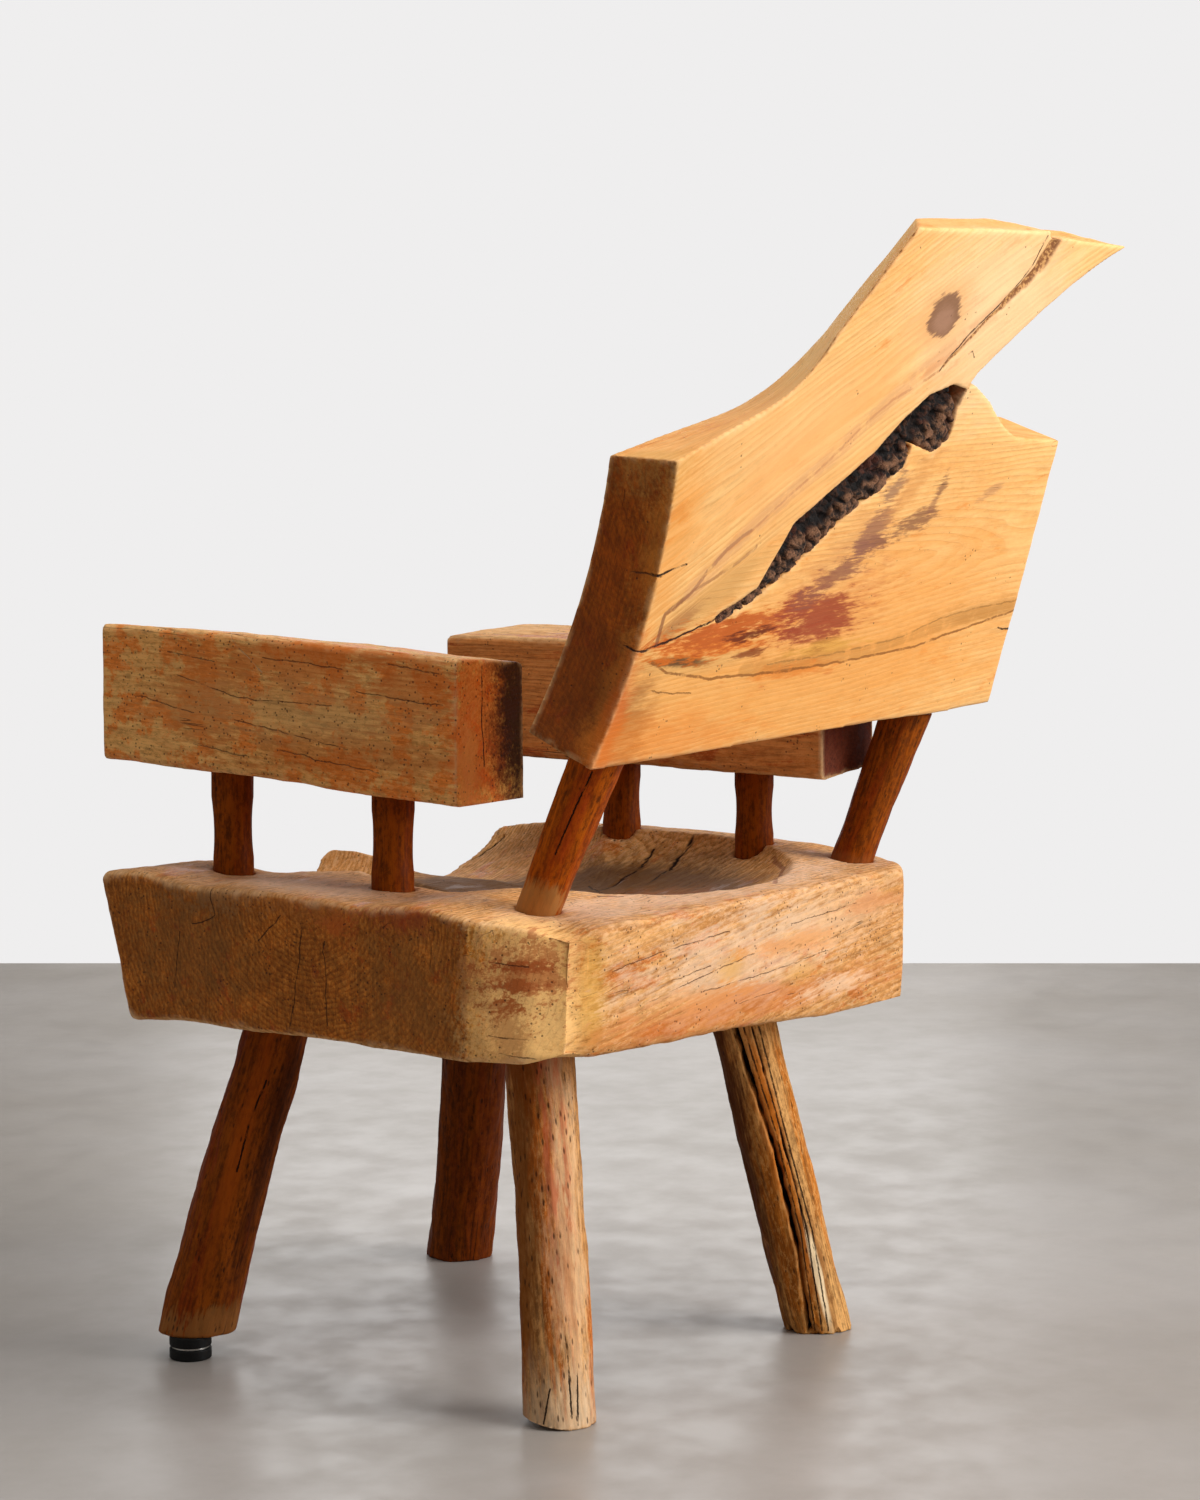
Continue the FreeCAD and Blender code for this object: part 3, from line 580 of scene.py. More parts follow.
    def speckles(self, recipe: Recipe, place: Socket) -> Socket:
        """Small black dirt pits, drawn out along the fibres."""
        run = recipe.scaled(place, (1, 1, self.speck_run))
        dots = recipe.ramp(recipe.cells(run, 210.0), 0.10, 0.26, 1.0, 0.0)
        limit = 0.66 - 0.2 * self.speckle
        drift = recipe.ramp(recipe.noise(recipe.place, SPECK_DRIFT), limit, limit + 0.05)
        return recipe.times(dots, drift)

    def marked(self, recipe: Recipe, colour: Socket, place: Socket) -> Socket:
        """Marks with edges that fray along the grain: stains, and where noted painted shade or a
        painted highlight.
        """
        if not self.marks:
            return colour
        fray = recipe.plus(recipe.less(recipe.noise(place, FRAY), 0.5),
                           recipe.less(recipe.noise(place, STAIN_PATCH), 0.5))
        for mark in self.marks:
            near = recipe.framed(recipe.place, mark.centre, along_axis(mark.along), mark.radii)
            far = recipe.vector("LENGTH", near).outputs["Value"]
            far = recipe.plus(far, recipe.times(fray, mark.ragged * 1.6))
            inside = recipe.ramp(far, 1 - mark.soft, 1 + mark.soft, mark.strength, 0.0)
            colour = recipe.over(colour, mark.colour, inside)
        return colour

    def cracked(self, recipe: Recipe, colour: Socket, height: Socket) -> tuple[Socket, Socket]:
        """Colour and relief with the cracks and lines, which wander and break off."""
        bent = recipe.wandering(recipe.place, CRACK_SWING, (self.crack_wander,) * 3)
        bent = recipe.wandering(bent, CRACK_FRAY, (CRACK_FRAY_REACH,) * 3)
        pressed = {face: recipe.pressed(bent, face)
                   for face in {split.face for split in self.splits}}
        broken = recipe.ramp(recipe.noise(recipe.place, CRACK_GAPS), 0.36, 0.5,
                             self.crack_break, 1.0)
        for split in self.splits:
            gap = recipe.ramp(recipe.line(pressed[split.face], split.pressed()),
                              split.width * 0.35, split.width * 0.75, 1.0, 0.0)
            gap = recipe.times(gap, broken)
            colour = recipe.over(colour, split.colour, recipe.times(gap, split.strength))
            height = recipe.less(height, recipe.times(gap, split.depth))
        return colour, height

    def dress(self, recipe: Recipe, skin: Skin, place: Socket) -> bpy.types.Material:
        """Marks, splits, checks and dirt over the plain wood, then the shader."""
        colour, height = skin.colour, skin.height
        for face in self.faces:
            mask = recipe.times(recipe.painted(face.name), face.strength)
            colour = recipe.over(colour, face.colour, mask, Blend.SHADE)
            if face.sawn:
                colour = recipe.over(colour, self.saw_marks(recipe),
                                     recipe.times(mask, face.sawn), Blend.SHADE)
        colour = self.marked(recipe, colour, place)
        rubbed = recipe.times(recipe.painted("wear"),
                              recipe.ramp(recipe.noise(recipe.place, RUBBED), 0.35, 0.6))
        colour = recipe.over(colour, self.wear, recipe.times(rubbed, self.wear_strength))
        dirt = self.speckles(recipe, place)
        colour = recipe.over(colour, self.dirt_colour, recipe.times(dirt, 0.75))
        height = recipe.less(height, recipe.times(dirt, 0.3))
        checks = self.checks(recipe, place)
        colour = recipe.over(colour, self.cut_colour, recipe.times(checks, 0.8))
        height = recipe.less(height, checks)
        if self.splits:
            colour, height = self.cracked(recipe, colour, height)
        torn = recipe.ramp(recipe.noise(recipe.place, TORN_WOOD), 0.46, 0.58)
        torn = recipe.over(self.cut_colour, self.cut_flake, torn)
        colour = recipe.over(colour, torn, recipe.ramp(recipe.painted("cut"), 0.2, 0.7))
        rough = recipe.ramp(skin.coat, 0.0, 1.0, self.bare_rough, self.coat_rough)
        return recipe.finish(colour, rough, height, WOOD_RELIEF, Specular_IOR_Level=self.gloss)

    def material(self) -> bpy.types.Material:
        """The wood as one node material."""
        recipe = Recipe(self.name, self.frame)
        skin, place = self.grown(recipe)
        return self.dress(recipe, skin, place)


@dataclass(frozen=True)
class CrotchFinish(LogFinish):
    """Two stems grown together: the wood above the seam has a pith of its own."""

    upper_pith: Point = (0.0, 0.0, 0.0)
    upper_along: Point = (1.0, 0.0, 0.0)
    seam_place: Point = (0.0, 0.0, 0.0)
    seam_up: Point = (0.0, 0.0, 1.0)

    def grown(self, recipe: Recipe) -> tuple[Skin, Socket]:
        """Both stems, joined along the seam."""
        lower_place = self.log_place(recipe, self.pith, self.along)
        upper_place = self.log_place(recipe, self.upper_pith, self.upper_along)
        lower, upper = self.plain(recipe, lower_place), self.plain(recipe, upper_place)
        reach = recipe.vector("SUBTRACT", recipe.place, self.seam_place).outputs["Vector"]
        above = recipe.vector("DOT_PRODUCT", reach, self.seam_up).outputs["Value"]
        mask = recipe.ramp(above, -0.004, 0.004)
        place = recipe.node("ShaderNodeMix", data_type="VECTOR")
        for index, value in ((0, mask), (4, lower_place), (5, upper_place)):
            recipe.feed(place.inputs[index], value)
        skin = Skin(recipe.over(lower.colour, upper.colour, mask),
                    recipe.between(lower.height, upper.height, mask),
                    recipe.between(lower.coat, upper.coat, mask))
        return skin, place.outputs[1]


@dataclass(frozen=True)
class BarkFinish:
    """Rough black-brown bark grown into the slab, near black in painted shade between its lumps, in
    its seams and where it sinks under the upper rim.
    """

    name: str = "grown_in_bark"
    # Near black: the bark's own dark, also laid as painted shade between lumps and in seams.
    deep: Colour = tone("0e0705")
    flake: Colour = tone("54301c")
    ash: Colour = tone("9a6c4c")
    ember: Colour = tone("6b2f18")

    def material(self) -> bpy.types.Material:
        """The bark as one node material."""
        recipe = Recipe(self.name, BACK)
        lumps = recipe.noise(recipe.place, BARK_LUMPS)
        grit = recipe.noise(recipe.place, BARK_GRIT)
        patch = recipe.noise(recipe.place, BARK_PATCH)
        # Near black where the bump relief is low: the bark's own dark plus painted shade in its
        # hollows.
        colour = recipe.over(self.deep, self.flake, recipe.ramp(lumps, 0.44, 0.60))
        colour = recipe.over(colour, self.ember, recipe.ramp(patch, 0.54, 0.62, 0.0, 0.5))
        # Ash grey only on raised lumps, so the sunk bark under the upper rim stays dark: the lumps'
        # own grey plus painted shade in the sunk part.
        pale = recipe.times(recipe.ramp(recipe.painted("raised"), 0.35, 0.8),
                            recipe.ramp(lumps, 0.38, 0.56))
        colour = recipe.over(colour, self.ash, recipe.times(pale, 0.85))
        dark = recipe.grey(recipe.ramp(grit, 0.35, 0.6, 0.4, 1.05))
        colour = recipe.over(colour, dark, 0.8, Blend.SHADE)
        # Painted shade: near black in the seams between the lumps.
        colour = recipe.over(colour, self.deep, recipe.times(recipe.painted("seam"), 0.9))
        height = recipe.plus(lumps, recipe.times(grit, 0.25))
        return recipe.finish(colour, 0.75, height, BARK_RELIEF, Specular_IOR_Level=0.3)


@dataclass(frozen=True)
class RubberFinish:
    """Black rubber with dust in its skin."""

    name: str = "pad_rubber"

    def material(self) -> bpy.types.Material:
        """The rubber as one node material."""
        recipe = Recipe(self.name)
        dust = recipe.noise(recipe.place, RUBBER_DUST)
        colour = recipe.over(tone("050505"), tone("161514"), recipe.ramp(dust, 0.5, 0.75))
        return recipe.finish(colour, recipe.ramp(dust, 0.3, 0.8, 0.45, 0.75), dust, 0.0002,
                             Specular_IOR_Level=0.25)


@dataclass(frozen=True)
class SteelFinish:
    """Plain turned steel, a little scratched."""

    name: str = "washer_steel"

    def material(self) -> bpy.types.Material:
        """The steel as one node material."""
        recipe = Recipe(self.name)
        lines = recipe.noise(recipe.place, STEEL_LINES)
        colour = recipe.over(tone("d4d2cd"), tone("a09d97"), recipe.ramp(lines, 0.4, 0.7))
        return recipe.finish(colour, recipe.ramp(lines, 0.3, 0.7, 0.25, 0.45), lines, 0.00005,
                             Metallic=1.0)


def dent(place: Vector, period: float, depth: float, stretch: Point = (1, 1, 1)) -> float:
    """Signed hand-worked unevenness at a place."""
    spot = Vector(p / (period * s) for p, s in zip(place, stretch))
    return noise.fractal(spot, 0.7, 2.0, 3) * depth


class HewnPiece:
    """A node's solid carried over to a fine mesh that hand work can shape."""

    nodes: dict[str, bpy.types.Object] = {}

    def __init__(self, node: str, grain: float, relax: int = 3, frame: Frame = CHAIR) -> None:
        """Copy the node's mesh and remesh it finely.

        Args:
            node: name of the node.
            grain: edge length of the fine mesh in metres.
            relax: rounds of smoothing that wear the edges.
            frame: frame along whose axes the fine mesh is laid.
        """
        self.node = node
        self.grain = grain
        self.low, self.high = (np.array(c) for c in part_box(node))
        work = bmesh.new()
        work.from_mesh(self.nodes[node].data)
        bmesh.ops.remove_doubles(work, verts=work.verts, dist=1e-6)
        work.transform(frame.matrix().inverted())
        mesh = bpy.data.meshes.new(f"{node}_wood")
        work.to_mesh(mesh)
        work.free()
        self.piece = bpy.data.objects.new(f"{node}_wood", mesh)
        bpy.context.scene.collection.objects.link(self.piece)
        modifier = self.piece.modifiers.new("fine", "REMESH")
        modifier.mode = "SHARP"
        cells = float(np.ptp(self.read("co"), axis=0).max()) / grain
        modifier.octree_depth = math.ceil(math.log2(cells / 0.99))
        modifier.scale = cells / 2 ** modifier.octree_depth
        modifier.use_remove_disconnected = False
        worn = self.piece.modifiers.new("worn", "SMOOTH")
        worn.iterations = relax
        worn.factor = 0.5
        shaped = self.piece.evaluated_get(bpy.context.evaluated_depsgraph_get())
        fine = bpy.data.meshes.new_from_object(shaped)
        fine.transform(frame.matrix())
        self.piece.modifiers.clear()
        self.piece.data = fine
        fine.name = f"{node}_wood"

    def read(self, key: str) -> np.ndarray:
        """One vector property of every vertex, such as co or normal."""
        vertices = self.piece.data.vertices
        values = np.empty(len(vertices) * 3)
        vertices.foreach_get(key, values)
        return values.reshape(-1, 3)

    def place(self, places: np.ndarray, inside: bool = True) -> None:
        """Set every vertex, clamped to the box of its own solid."""
        kept = np.clip(places, self.low, self.high) if inside else places
        self.piece.data.vertices.foreach_set("co", kept.ravel())
        self.piece.data.update()

    def work(self, swell: Callable[[Vector], float]) -> None:
        """Move every vertex along its normal.

        Args:
            swell: gives the move in metres at a place.
        """
        places, normals = self.read("co"), self.read("normal")
        moves = np.array([swell(Vector(p)) for p in places])
        self.place(places + normals * moves[:, None])

    def carve(self, grooves: Sequence[Groove], frame: Frame = CHAIR, wander: float = 0.002) -> None:
        """Cut grooves inwards and remember where.

        Args:
            grooves: the cuts, in the frame.
            frame: frame of the grooves.
            wander: how far the cuts swing from their lines, in metres.
        """
        places, normals = self.read("co"), self.read("normal")
        swung = frame.local(places)
        swung += wander * np.array([noise.noise_vector(Vector(p) * CARVE_FINENESS)
                                    for p in places])
        cut = np.zeros(len(places))
        sunk = np.zeros(len(places))
        for groove in grooves:
            share = groove.reach(swung)
            cut = np.maximum(cut, share)
            sunk = np.maximum(sunk, share * groove.depth)
        self.place(places - normals * sunk[:, None])
        self.paint("cut", cut)

    def ease(self, edges: Sequence[Groove]) -> None:
        """Round edges off broadly, without a trace in the colour.

        Args:
            edges: lines of the edges, each with the width and depth of its rounding.
        """
        places, normals = self.read("co"), self.read("normal")
        sunk = sum(edge.reach(places) * edge.depth for edge in edges)
        self.place(places - normals * sunk[:, None])

    def saw(self, top: Callable[[np.ndarray], np.ndarray]) -> None:
        """Cut the lower end off along a surface.

        Args:
            top: height of the surface at each place.
        """
        places = self.read("co")
        places[:, 2] = np.maximum(places[:, 2], top(places))
        self.place(places)

    def paint(self, name: str, values: np.ndarray) -> None:
        """Store one number per vertex for the material."""
        layer = self.piece.data.attributes.new(name, "FLOAT", "POINT")
        layer.data.foreach_set("value", values.astype(np.float32))

    def paint_faces(self, faces: Sequence[FaceTone], frame: Frame = CHAIR) -> None:
        """Store how far each face tone applies."""
        turned = self.read("normal") @ np.array(Euler(frame.turn).to_matrix())
        for face in faces:
            looks = turned @ np.array(Vector(face.towards).normalized())
            self.paint(face.name, soft_step(face.low, face.high, looks))

    def paint_wear(self) -> None:
        """Store how strongly the surface bulges, as on rubbed edges."""
        mesh = self.piece.data
        ends = np.empty(len(mesh.edges) * 2, dtype=np.int32)
        mesh.edges.foreach_get("vertices", ends)
        first, second = ends.reshape(-1, 2).T
        count = np.bincount(ends, minlength=len(mesh.vertices)).clip(1)

        def neighbours(values: np.ndarray) -> np.ndarray:
            """Mean of a value over each vertex's neighbours."""
            total = np.bincount(first, values[second], len(values))
            return (total + np.bincount(second, values[first], len(values))) / count

        places, normals = self.read("co"), self.read("normal")
        middle = np.stack([neighbours(column) for column in places.T], axis=1)
        bulge = ((places - middle) * normals).sum(axis=1)
        for _ in range(2):
            bulge = (bulge + neighbours(bulge)) / 2
        self.paint("wear", soft_step(0.035, 0.11, bulge / self.grain))

    def done(self, finish: LogFinish | BarkFinish) -> None:
        """Dress the piece, let it stand for its node and report it."""
        mesh = self.piece.data
        if isinstance(finish, LogFinish):
            self.paint_faces(finish.faces, finish.frame)
            self.paint_wear()
            if "cut" not in mesh.attributes:
                self.paint("cut", np.zeros(len(mesh.vertices)))
        mesh.materials.clear()
        mesh.materials.append(finish.material())
        mesh.polygons.foreach_set("use_smooth", [True] * len(mesh.polygons))
        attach(self.piece, "root")
        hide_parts(self.node)
        log.info("%s: %d faces", self.piece.name, len(mesh.polygons))


@dataclass
class SeatSlab:
    """The half-log seat, carved and hewn."""

    grain: float = 0.0033
    hew_period: float = 0.085
    hew_depth: float = 0.0018
    rim_drop: float = 0.011
    pommel_middle: float = 0.011
    pommel_drop: float = 0.006
    pommel_front_drop: float = 0.004
    pommel_rear_drop: float = 0.005
    under_drop: float = 0.004
    under_corner_drop: float = 0.001
    under_front_drop: float = 0.005
    under_right_drop: float = 0.004
    under_far_right_drop: float = 0.006
    end_slope: float = 0.042
    rim_height: Span = (0.390, 0.440)
    rim_across: Span = (0.10, 0.20)
    rim_front: Span = (-0.27, -0.20)
    rim_rear: Span = (0.07, -0.02)
    pommel_side: Span = (0.12, 0.07)
    pommel_rear: Span = (-0.12, -0.22)
    pommel_height: Span = (0.402, 0.430)
    pommel_front_depth: Span = (-0.300, -0.314)
    pommel_rear_depth: Span = (-0.285, -0.245)
    corner_across: Span = (0.22, 0.30)
    corner_depth: Span = (0.02, 0.14)
    front_across: Span = (0.20, 0.30)
    front_depth: Span = (-0.20, -0.28)
    under_right: Span = (0.05, -0.15)
    under_far_right: Span = (-0.15, -0.25)
    under_height: Span = (0.40, 0.335)
    end_across: Span = (-0.24, -0.30)
    end_height: Span = (0.43, 0.31)
    end_depth: Span = (0.06, 0.16)

    def finish(self) -> LogFinish:
        """Worn pine, dark on the end grain, greyish in the dish and darkened there by weathering
        plus painted shade, scraped at the corner and lit there by a painted highlight.
        """
        faces = (
            FaceTone("end_grain", (1, 0, 0), tone("d6aa60"), 0.97, 0.80, 0.92, 0.75),
            FaceTone("sawn_corner", (0.72, 0.69, 0), tone("fff0b4"), 1.0, 0.76, 0.94, 0.6),
        )
        marks = (
            # Dark dish: weathering plus painted shade, where the backrest and arm shade the hollow.
            stain((-15, -36, 398), (205, 195, 48), "46280c", 0.9, 0.25, ragged=0.25),
            stain((10, 60, 404), (120, 90, 30), "6b4a2c", 0.4, 0.6),
            stain((-60, 20, 402), (60, 40, 20), "9a5420", 0.4, 0.6, ragged=1.8),
            stain((266, -100, 448), (34, 150, 14), "e0c2ac", 0.42, 0.6, ragged=1.2),
            stain((40, 150, 442), (280, 44, 14), "ecccb4", 0.5, 0.6),
            # Painted highlight: pale orange over the sawn corner facet, standing in for the sun
            # that falls on it.
            stain((303, 152, 370), (50, 44, 90), "ffca80", 0.8, 0.4),
            stain((306, 150, 402), (30, 34, 5), "8a3410", 0.75, 0.5, ragged=2.0),
            stain((312, 140, 386), (22, 26, 5), "7a2c10", 0.7, 0.5, ragged=2.0),
            stain((316, 134, 370), (14, 16, 6), "8a3812", 0.6, 0.5, ragged=2.0),
            stain((303, 150, 396), (36, 40, 26), "a84a14", 0.65, 0.4, ragged=2.6),
            stain((312, 140, 350), (14, 16, 34), "a8541e", 0.4, 0.4, ragged=2.6),
            stain((324, -210, 390), (9, 70, 60), "6b4a26", 0.45, 0.6, ragged=1.6),
            stain((324, 60, 370), (9, 60, 60), "8a5c2c", 0.4, 0.6, ragged=1.6),
            stain((284, 181, 372), (5, 5, 48), "7a2c10", 0.75, 0.5),
            stain((258, 186, 372), (20, 8, 40), "d8a040", 0.55, 0.6),
            stain((40, 188, 372), (150, 10, 42), "ecccac", 0.5, 0.5, ragged=1.6),
            stain((-120, 188, 395), (100, 10, 26), "e9bf95", 0.5, 0.5, ragged=1.4),
            stain((55, 188, 372), (22, 8, 12), "d9a04a", 0.6, 0.6),
            stain((-60, 188, 352), (34, 8, 10), "d9a04a", 0.5, 0.6),
            stain((30, 186, 335), (240, 14, 16), "c46a26", 0.6, 0.5, ragged=1.3),
            stain((-40, 188, 380), (90, 8, 9), "dc8a34", 0.55, 0.5, ragged=2.2),
            stain((120, 188, 352), (80, 8, 10), "d8883a", 0.5, 0.5, ragged=2.2),
            stain((-180, 188, 402), (60, 8, 9), "cc7a3a", 0.5, 0.5, ragged=2.2),
            stain((-120, 188, 332), (70, 8, 12), "f2d6b2", 0.5, 0.5, ragged=1.8),
            stain((326, -30, 424), (10, 17, 11), "b8561c", 0.65, 0.5, ragged=2.4),
            stain((327, -70, 440), (10, 60, 14), "b06830", 0.4, 0.5, ragged=2.4),
            stain((329, 38, 438), (10, 32, 13), "94361a", 0.5, 0.5, ragged=2.4),
            stain((315, -160, 440), (10, 60, 18), "9a7048", 0.4, 0.5, ragged=1.5),
            stain((318, -66, 455), (9, 9, 5), "4a1c08", 0.8, 0.4),
        )
        end_cracks = (
            path((318, -179, 452), (321, -178, 434), (321, -172, 418), (321, -184, 412),
                 (320, -199.5, 409)),
            path((326, -44, 408), (326, -47, 399), (326, -43, 384), (326, -44, 362),
                 (326, -42, 336)),
            path((325, -71, 417), (325, -74, 390), (325, -81, 353), (324, -85, 331)),
            path((324, -95, 425), (323, -106, 414), (323, -122, 401)),
            path((316, -271, 444), (317, -270, 435)),
            path((322, -215, 400), (321, -219, 372), (322, -222, 350)),
            path((326, 70, 440), (327, 74, 415), (327, 73, 396)),
        )
        rear_cracks = (
            path((98, 187, 356), (-20, 187, 361), (-103, 187, 367)),
            path((-14, 187, 333), (-108, 187, 338), (-206, 186, 346)),
            path((-143, 187, 365), (-212, 186, 367)),
            path((153, 187, 371), (88, 187, 378)),
            path((230, 187, 392), (150, 187, 400), (60, 187, 404)),
            path((-40, 187, 398), (-150, 187, 404)),
            path((250, 187, 352), (180, 187, 358), (90, 187, 372), (20, 187, 380)),
            path((40, 187, 338), (-60, 187, 345), (-150, 187, 352)),
            path((-120, 187, 325), (-200, 187, 332), (-260, 187, 341)),
        )
        corner_cracks = (
            path((322, 128, 345), (304, 154, 342)), path((318, 134, 330), (300, 160, 326)),
            path((321, 128, 405), (303, 154, 402)),
        )
        top_cracks = (
            path((-226, -47, 436), (-203, -48, 424), (-173, -39, 415), (-120, -30, 405)),
            path((-207, -81, 428), (-168, -70, 415), (-112, -63, 404), (-60, -58, 402)),
            path((-115, -92, 402), (-78, -50, 403)),
            path((-195, -297, 401), (-218, -296, 409), (-236, -292, 420)),
            path((151, 112, 439), (131, 123, 438)),
        )
        crease = path((-190, 68, 433), (-147, 107, 430), (-49, 161, 432))
        splits = tuple(Split(points, 0.0010, strength=0.75, face=(1, 0, 0))
                       for points in end_cracks)
        splits += tuple(Split(points, 0.0009, tone("5c3014"), 0.7) for points in rear_cracks)
        splits += tuple(Split(points, 0.0010, tone("4a240e"), 0.7, face=(0.72, 0.69, 0))
                        for points in corner_cracks)
        splits += tuple(Split(points, 0.0018, tone("1d100a"), face=(0, 0, 1))
                        for points in top_cracks)
        splits += (Split(crease, 0.004, tone("6b2c1c"), 0.6, 0.3, (0, 0, 1)),)
        return LogFinish(
            "seat_log", pith=mm(330, -62, 452), along=(1, 0, -0.13),
            pale=tone("dfa464"), late=tone("b07030"), tint=tone("ce8c4a"),
            varnish=tone("c86c22"), ring=0.0046, ring_strength=0.75, varnish_amount=0.28,
            speckle=0.8, check=0.35, streak=0.5, fibre=0.5, patch_run=0.5, grime=0.42,
            wear=tone("ecc294"), wear_strength=0.5,
            faces=faces, marks=marks, splits=splits)

    def settle(self, piece: HewnPiece) -> None:
        """Lower the left rim, pommel and underside, and slope the right end in at its foot."""
        places = piece.read("co")
        across, depth, height = places.T
        rim = soft_step(*self.rim_height, height) * soft_step(*self.rim_across, across)
        rim *= soft_step(*self.rim_front, depth) * soft_step(*self.rim_rear, depth)
        pommel = soft_step(*self.pommel_side, abs(across - self.pommel_middle))
        pommel *= soft_step(*self.pommel_rear, depth)
        pommel *= soft_step(*self.pommel_height, height)
        slope = self.pommel_drop
        slope += self.pommel_front_drop * soft_step(*self.pommel_front_depth, depth)
        slope += self.pommel_rear_drop * soft_step(*self.pommel_rear_depth, depth)
        corner = soft_step(*self.corner_across, across) * soft_step(*self.corner_depth, depth)
        front = soft_step(*self.front_across, across) * soft_step(*self.front_depth, depth)
        drop = self.under_drop + self.under_corner_drop * corner + self.under_front_drop * front
        drop += self.under_right_drop * soft_step(*self.under_right, across)
        drop += self.under_far_right_drop * soft_step(*self.under_far_right, across)
        under = soft_step(*self.under_height, height)
        end = soft_step(*self.end_across, across) * soft_step(*self.end_height, height)
        places[:, 2] -= self.rim_drop * rim + drop * under + slope * pommel
        places[:, 0] += self.end_slope * end * soft_step(*self.end_depth, depth)
        piece.place(places)

    def build(self) -> None:
        """Make the slab."""
        piece = HewnPiece("seat", self.grain, 4)
        piece.work(lambda place: dent(place, self.hew_period, self.hew_depth)
                   + dent(place, 0.02, 0.0005))
        self.settle(piece)
        piece.ease((
            Groove(path((283, 184, 300), (283, 184, 450)), 0.090, 0.0090),
            Groove(path((285, 186, 322), (-280, 188, 300)), 0.030, 0.0020),
        ))
        piece.carve((
            Groove(path((-240, -52, 445), (-203, -48, 424), (-173, -39, 415)), 0.007, 0.003),
            Groove(path((-215, -84, 430), (-168, -70, 415), (-112, -63, 404)), 0.006, 0.003),
            Groove(path((-190, -297, 397), (-218, -296, 409), (-240, -290, 422)), 0.008, 0.004),
        ))
        piece.done(self.finish())


@dataclass(frozen=True)
class Branch:
    """How one branch differs from its sisters."""

    pale: Colour
    late: Colour
    tint: Colour
    varnish: Colour
    varnish_amount: float
    marks: tuple[Mark, ...] = ()
    splits: tuple[Split, ...] = ()
    grooves: tuple[Groove, ...] = ()
    speckle: float = 0.6
    grain: float = 0.0022
    sawn: Callable[[np.ndarray], np.ndarray] | None = None
    lean: tuple[float, float] = (0.0, 0.0)


def slanted(place: Point, away: Point, slope: float) -> Callable[[np.ndarray], np.ndarray]:
    """Surface that rises from a place towards one side.

    Args:
        place: where the surface touches its lowest line.
        away: direction of the rise, level.
        slope: rise per metre.

    Returns:
        The height rule for HewnPiece.saw.
    """
    run = np.array(away) / np.linalg.norm(away)
    return lambda points: place[2] + np.maximum((points - np.array(place)) @ run, 0.0) * slope


def frayed(points: np.ndarray) -> np.ndarray:
    """Height of a torn branch end: long splinters with gaps between."""
    fineness, seed, longest = 95, 3.0, 0.022
    tears = np.array([noise.noise(Vector((p[0] * fineness, p[1] * fineness, seed)))
                      for p in points])
    return np.clip(tears, 0.0, 1.0) * longest


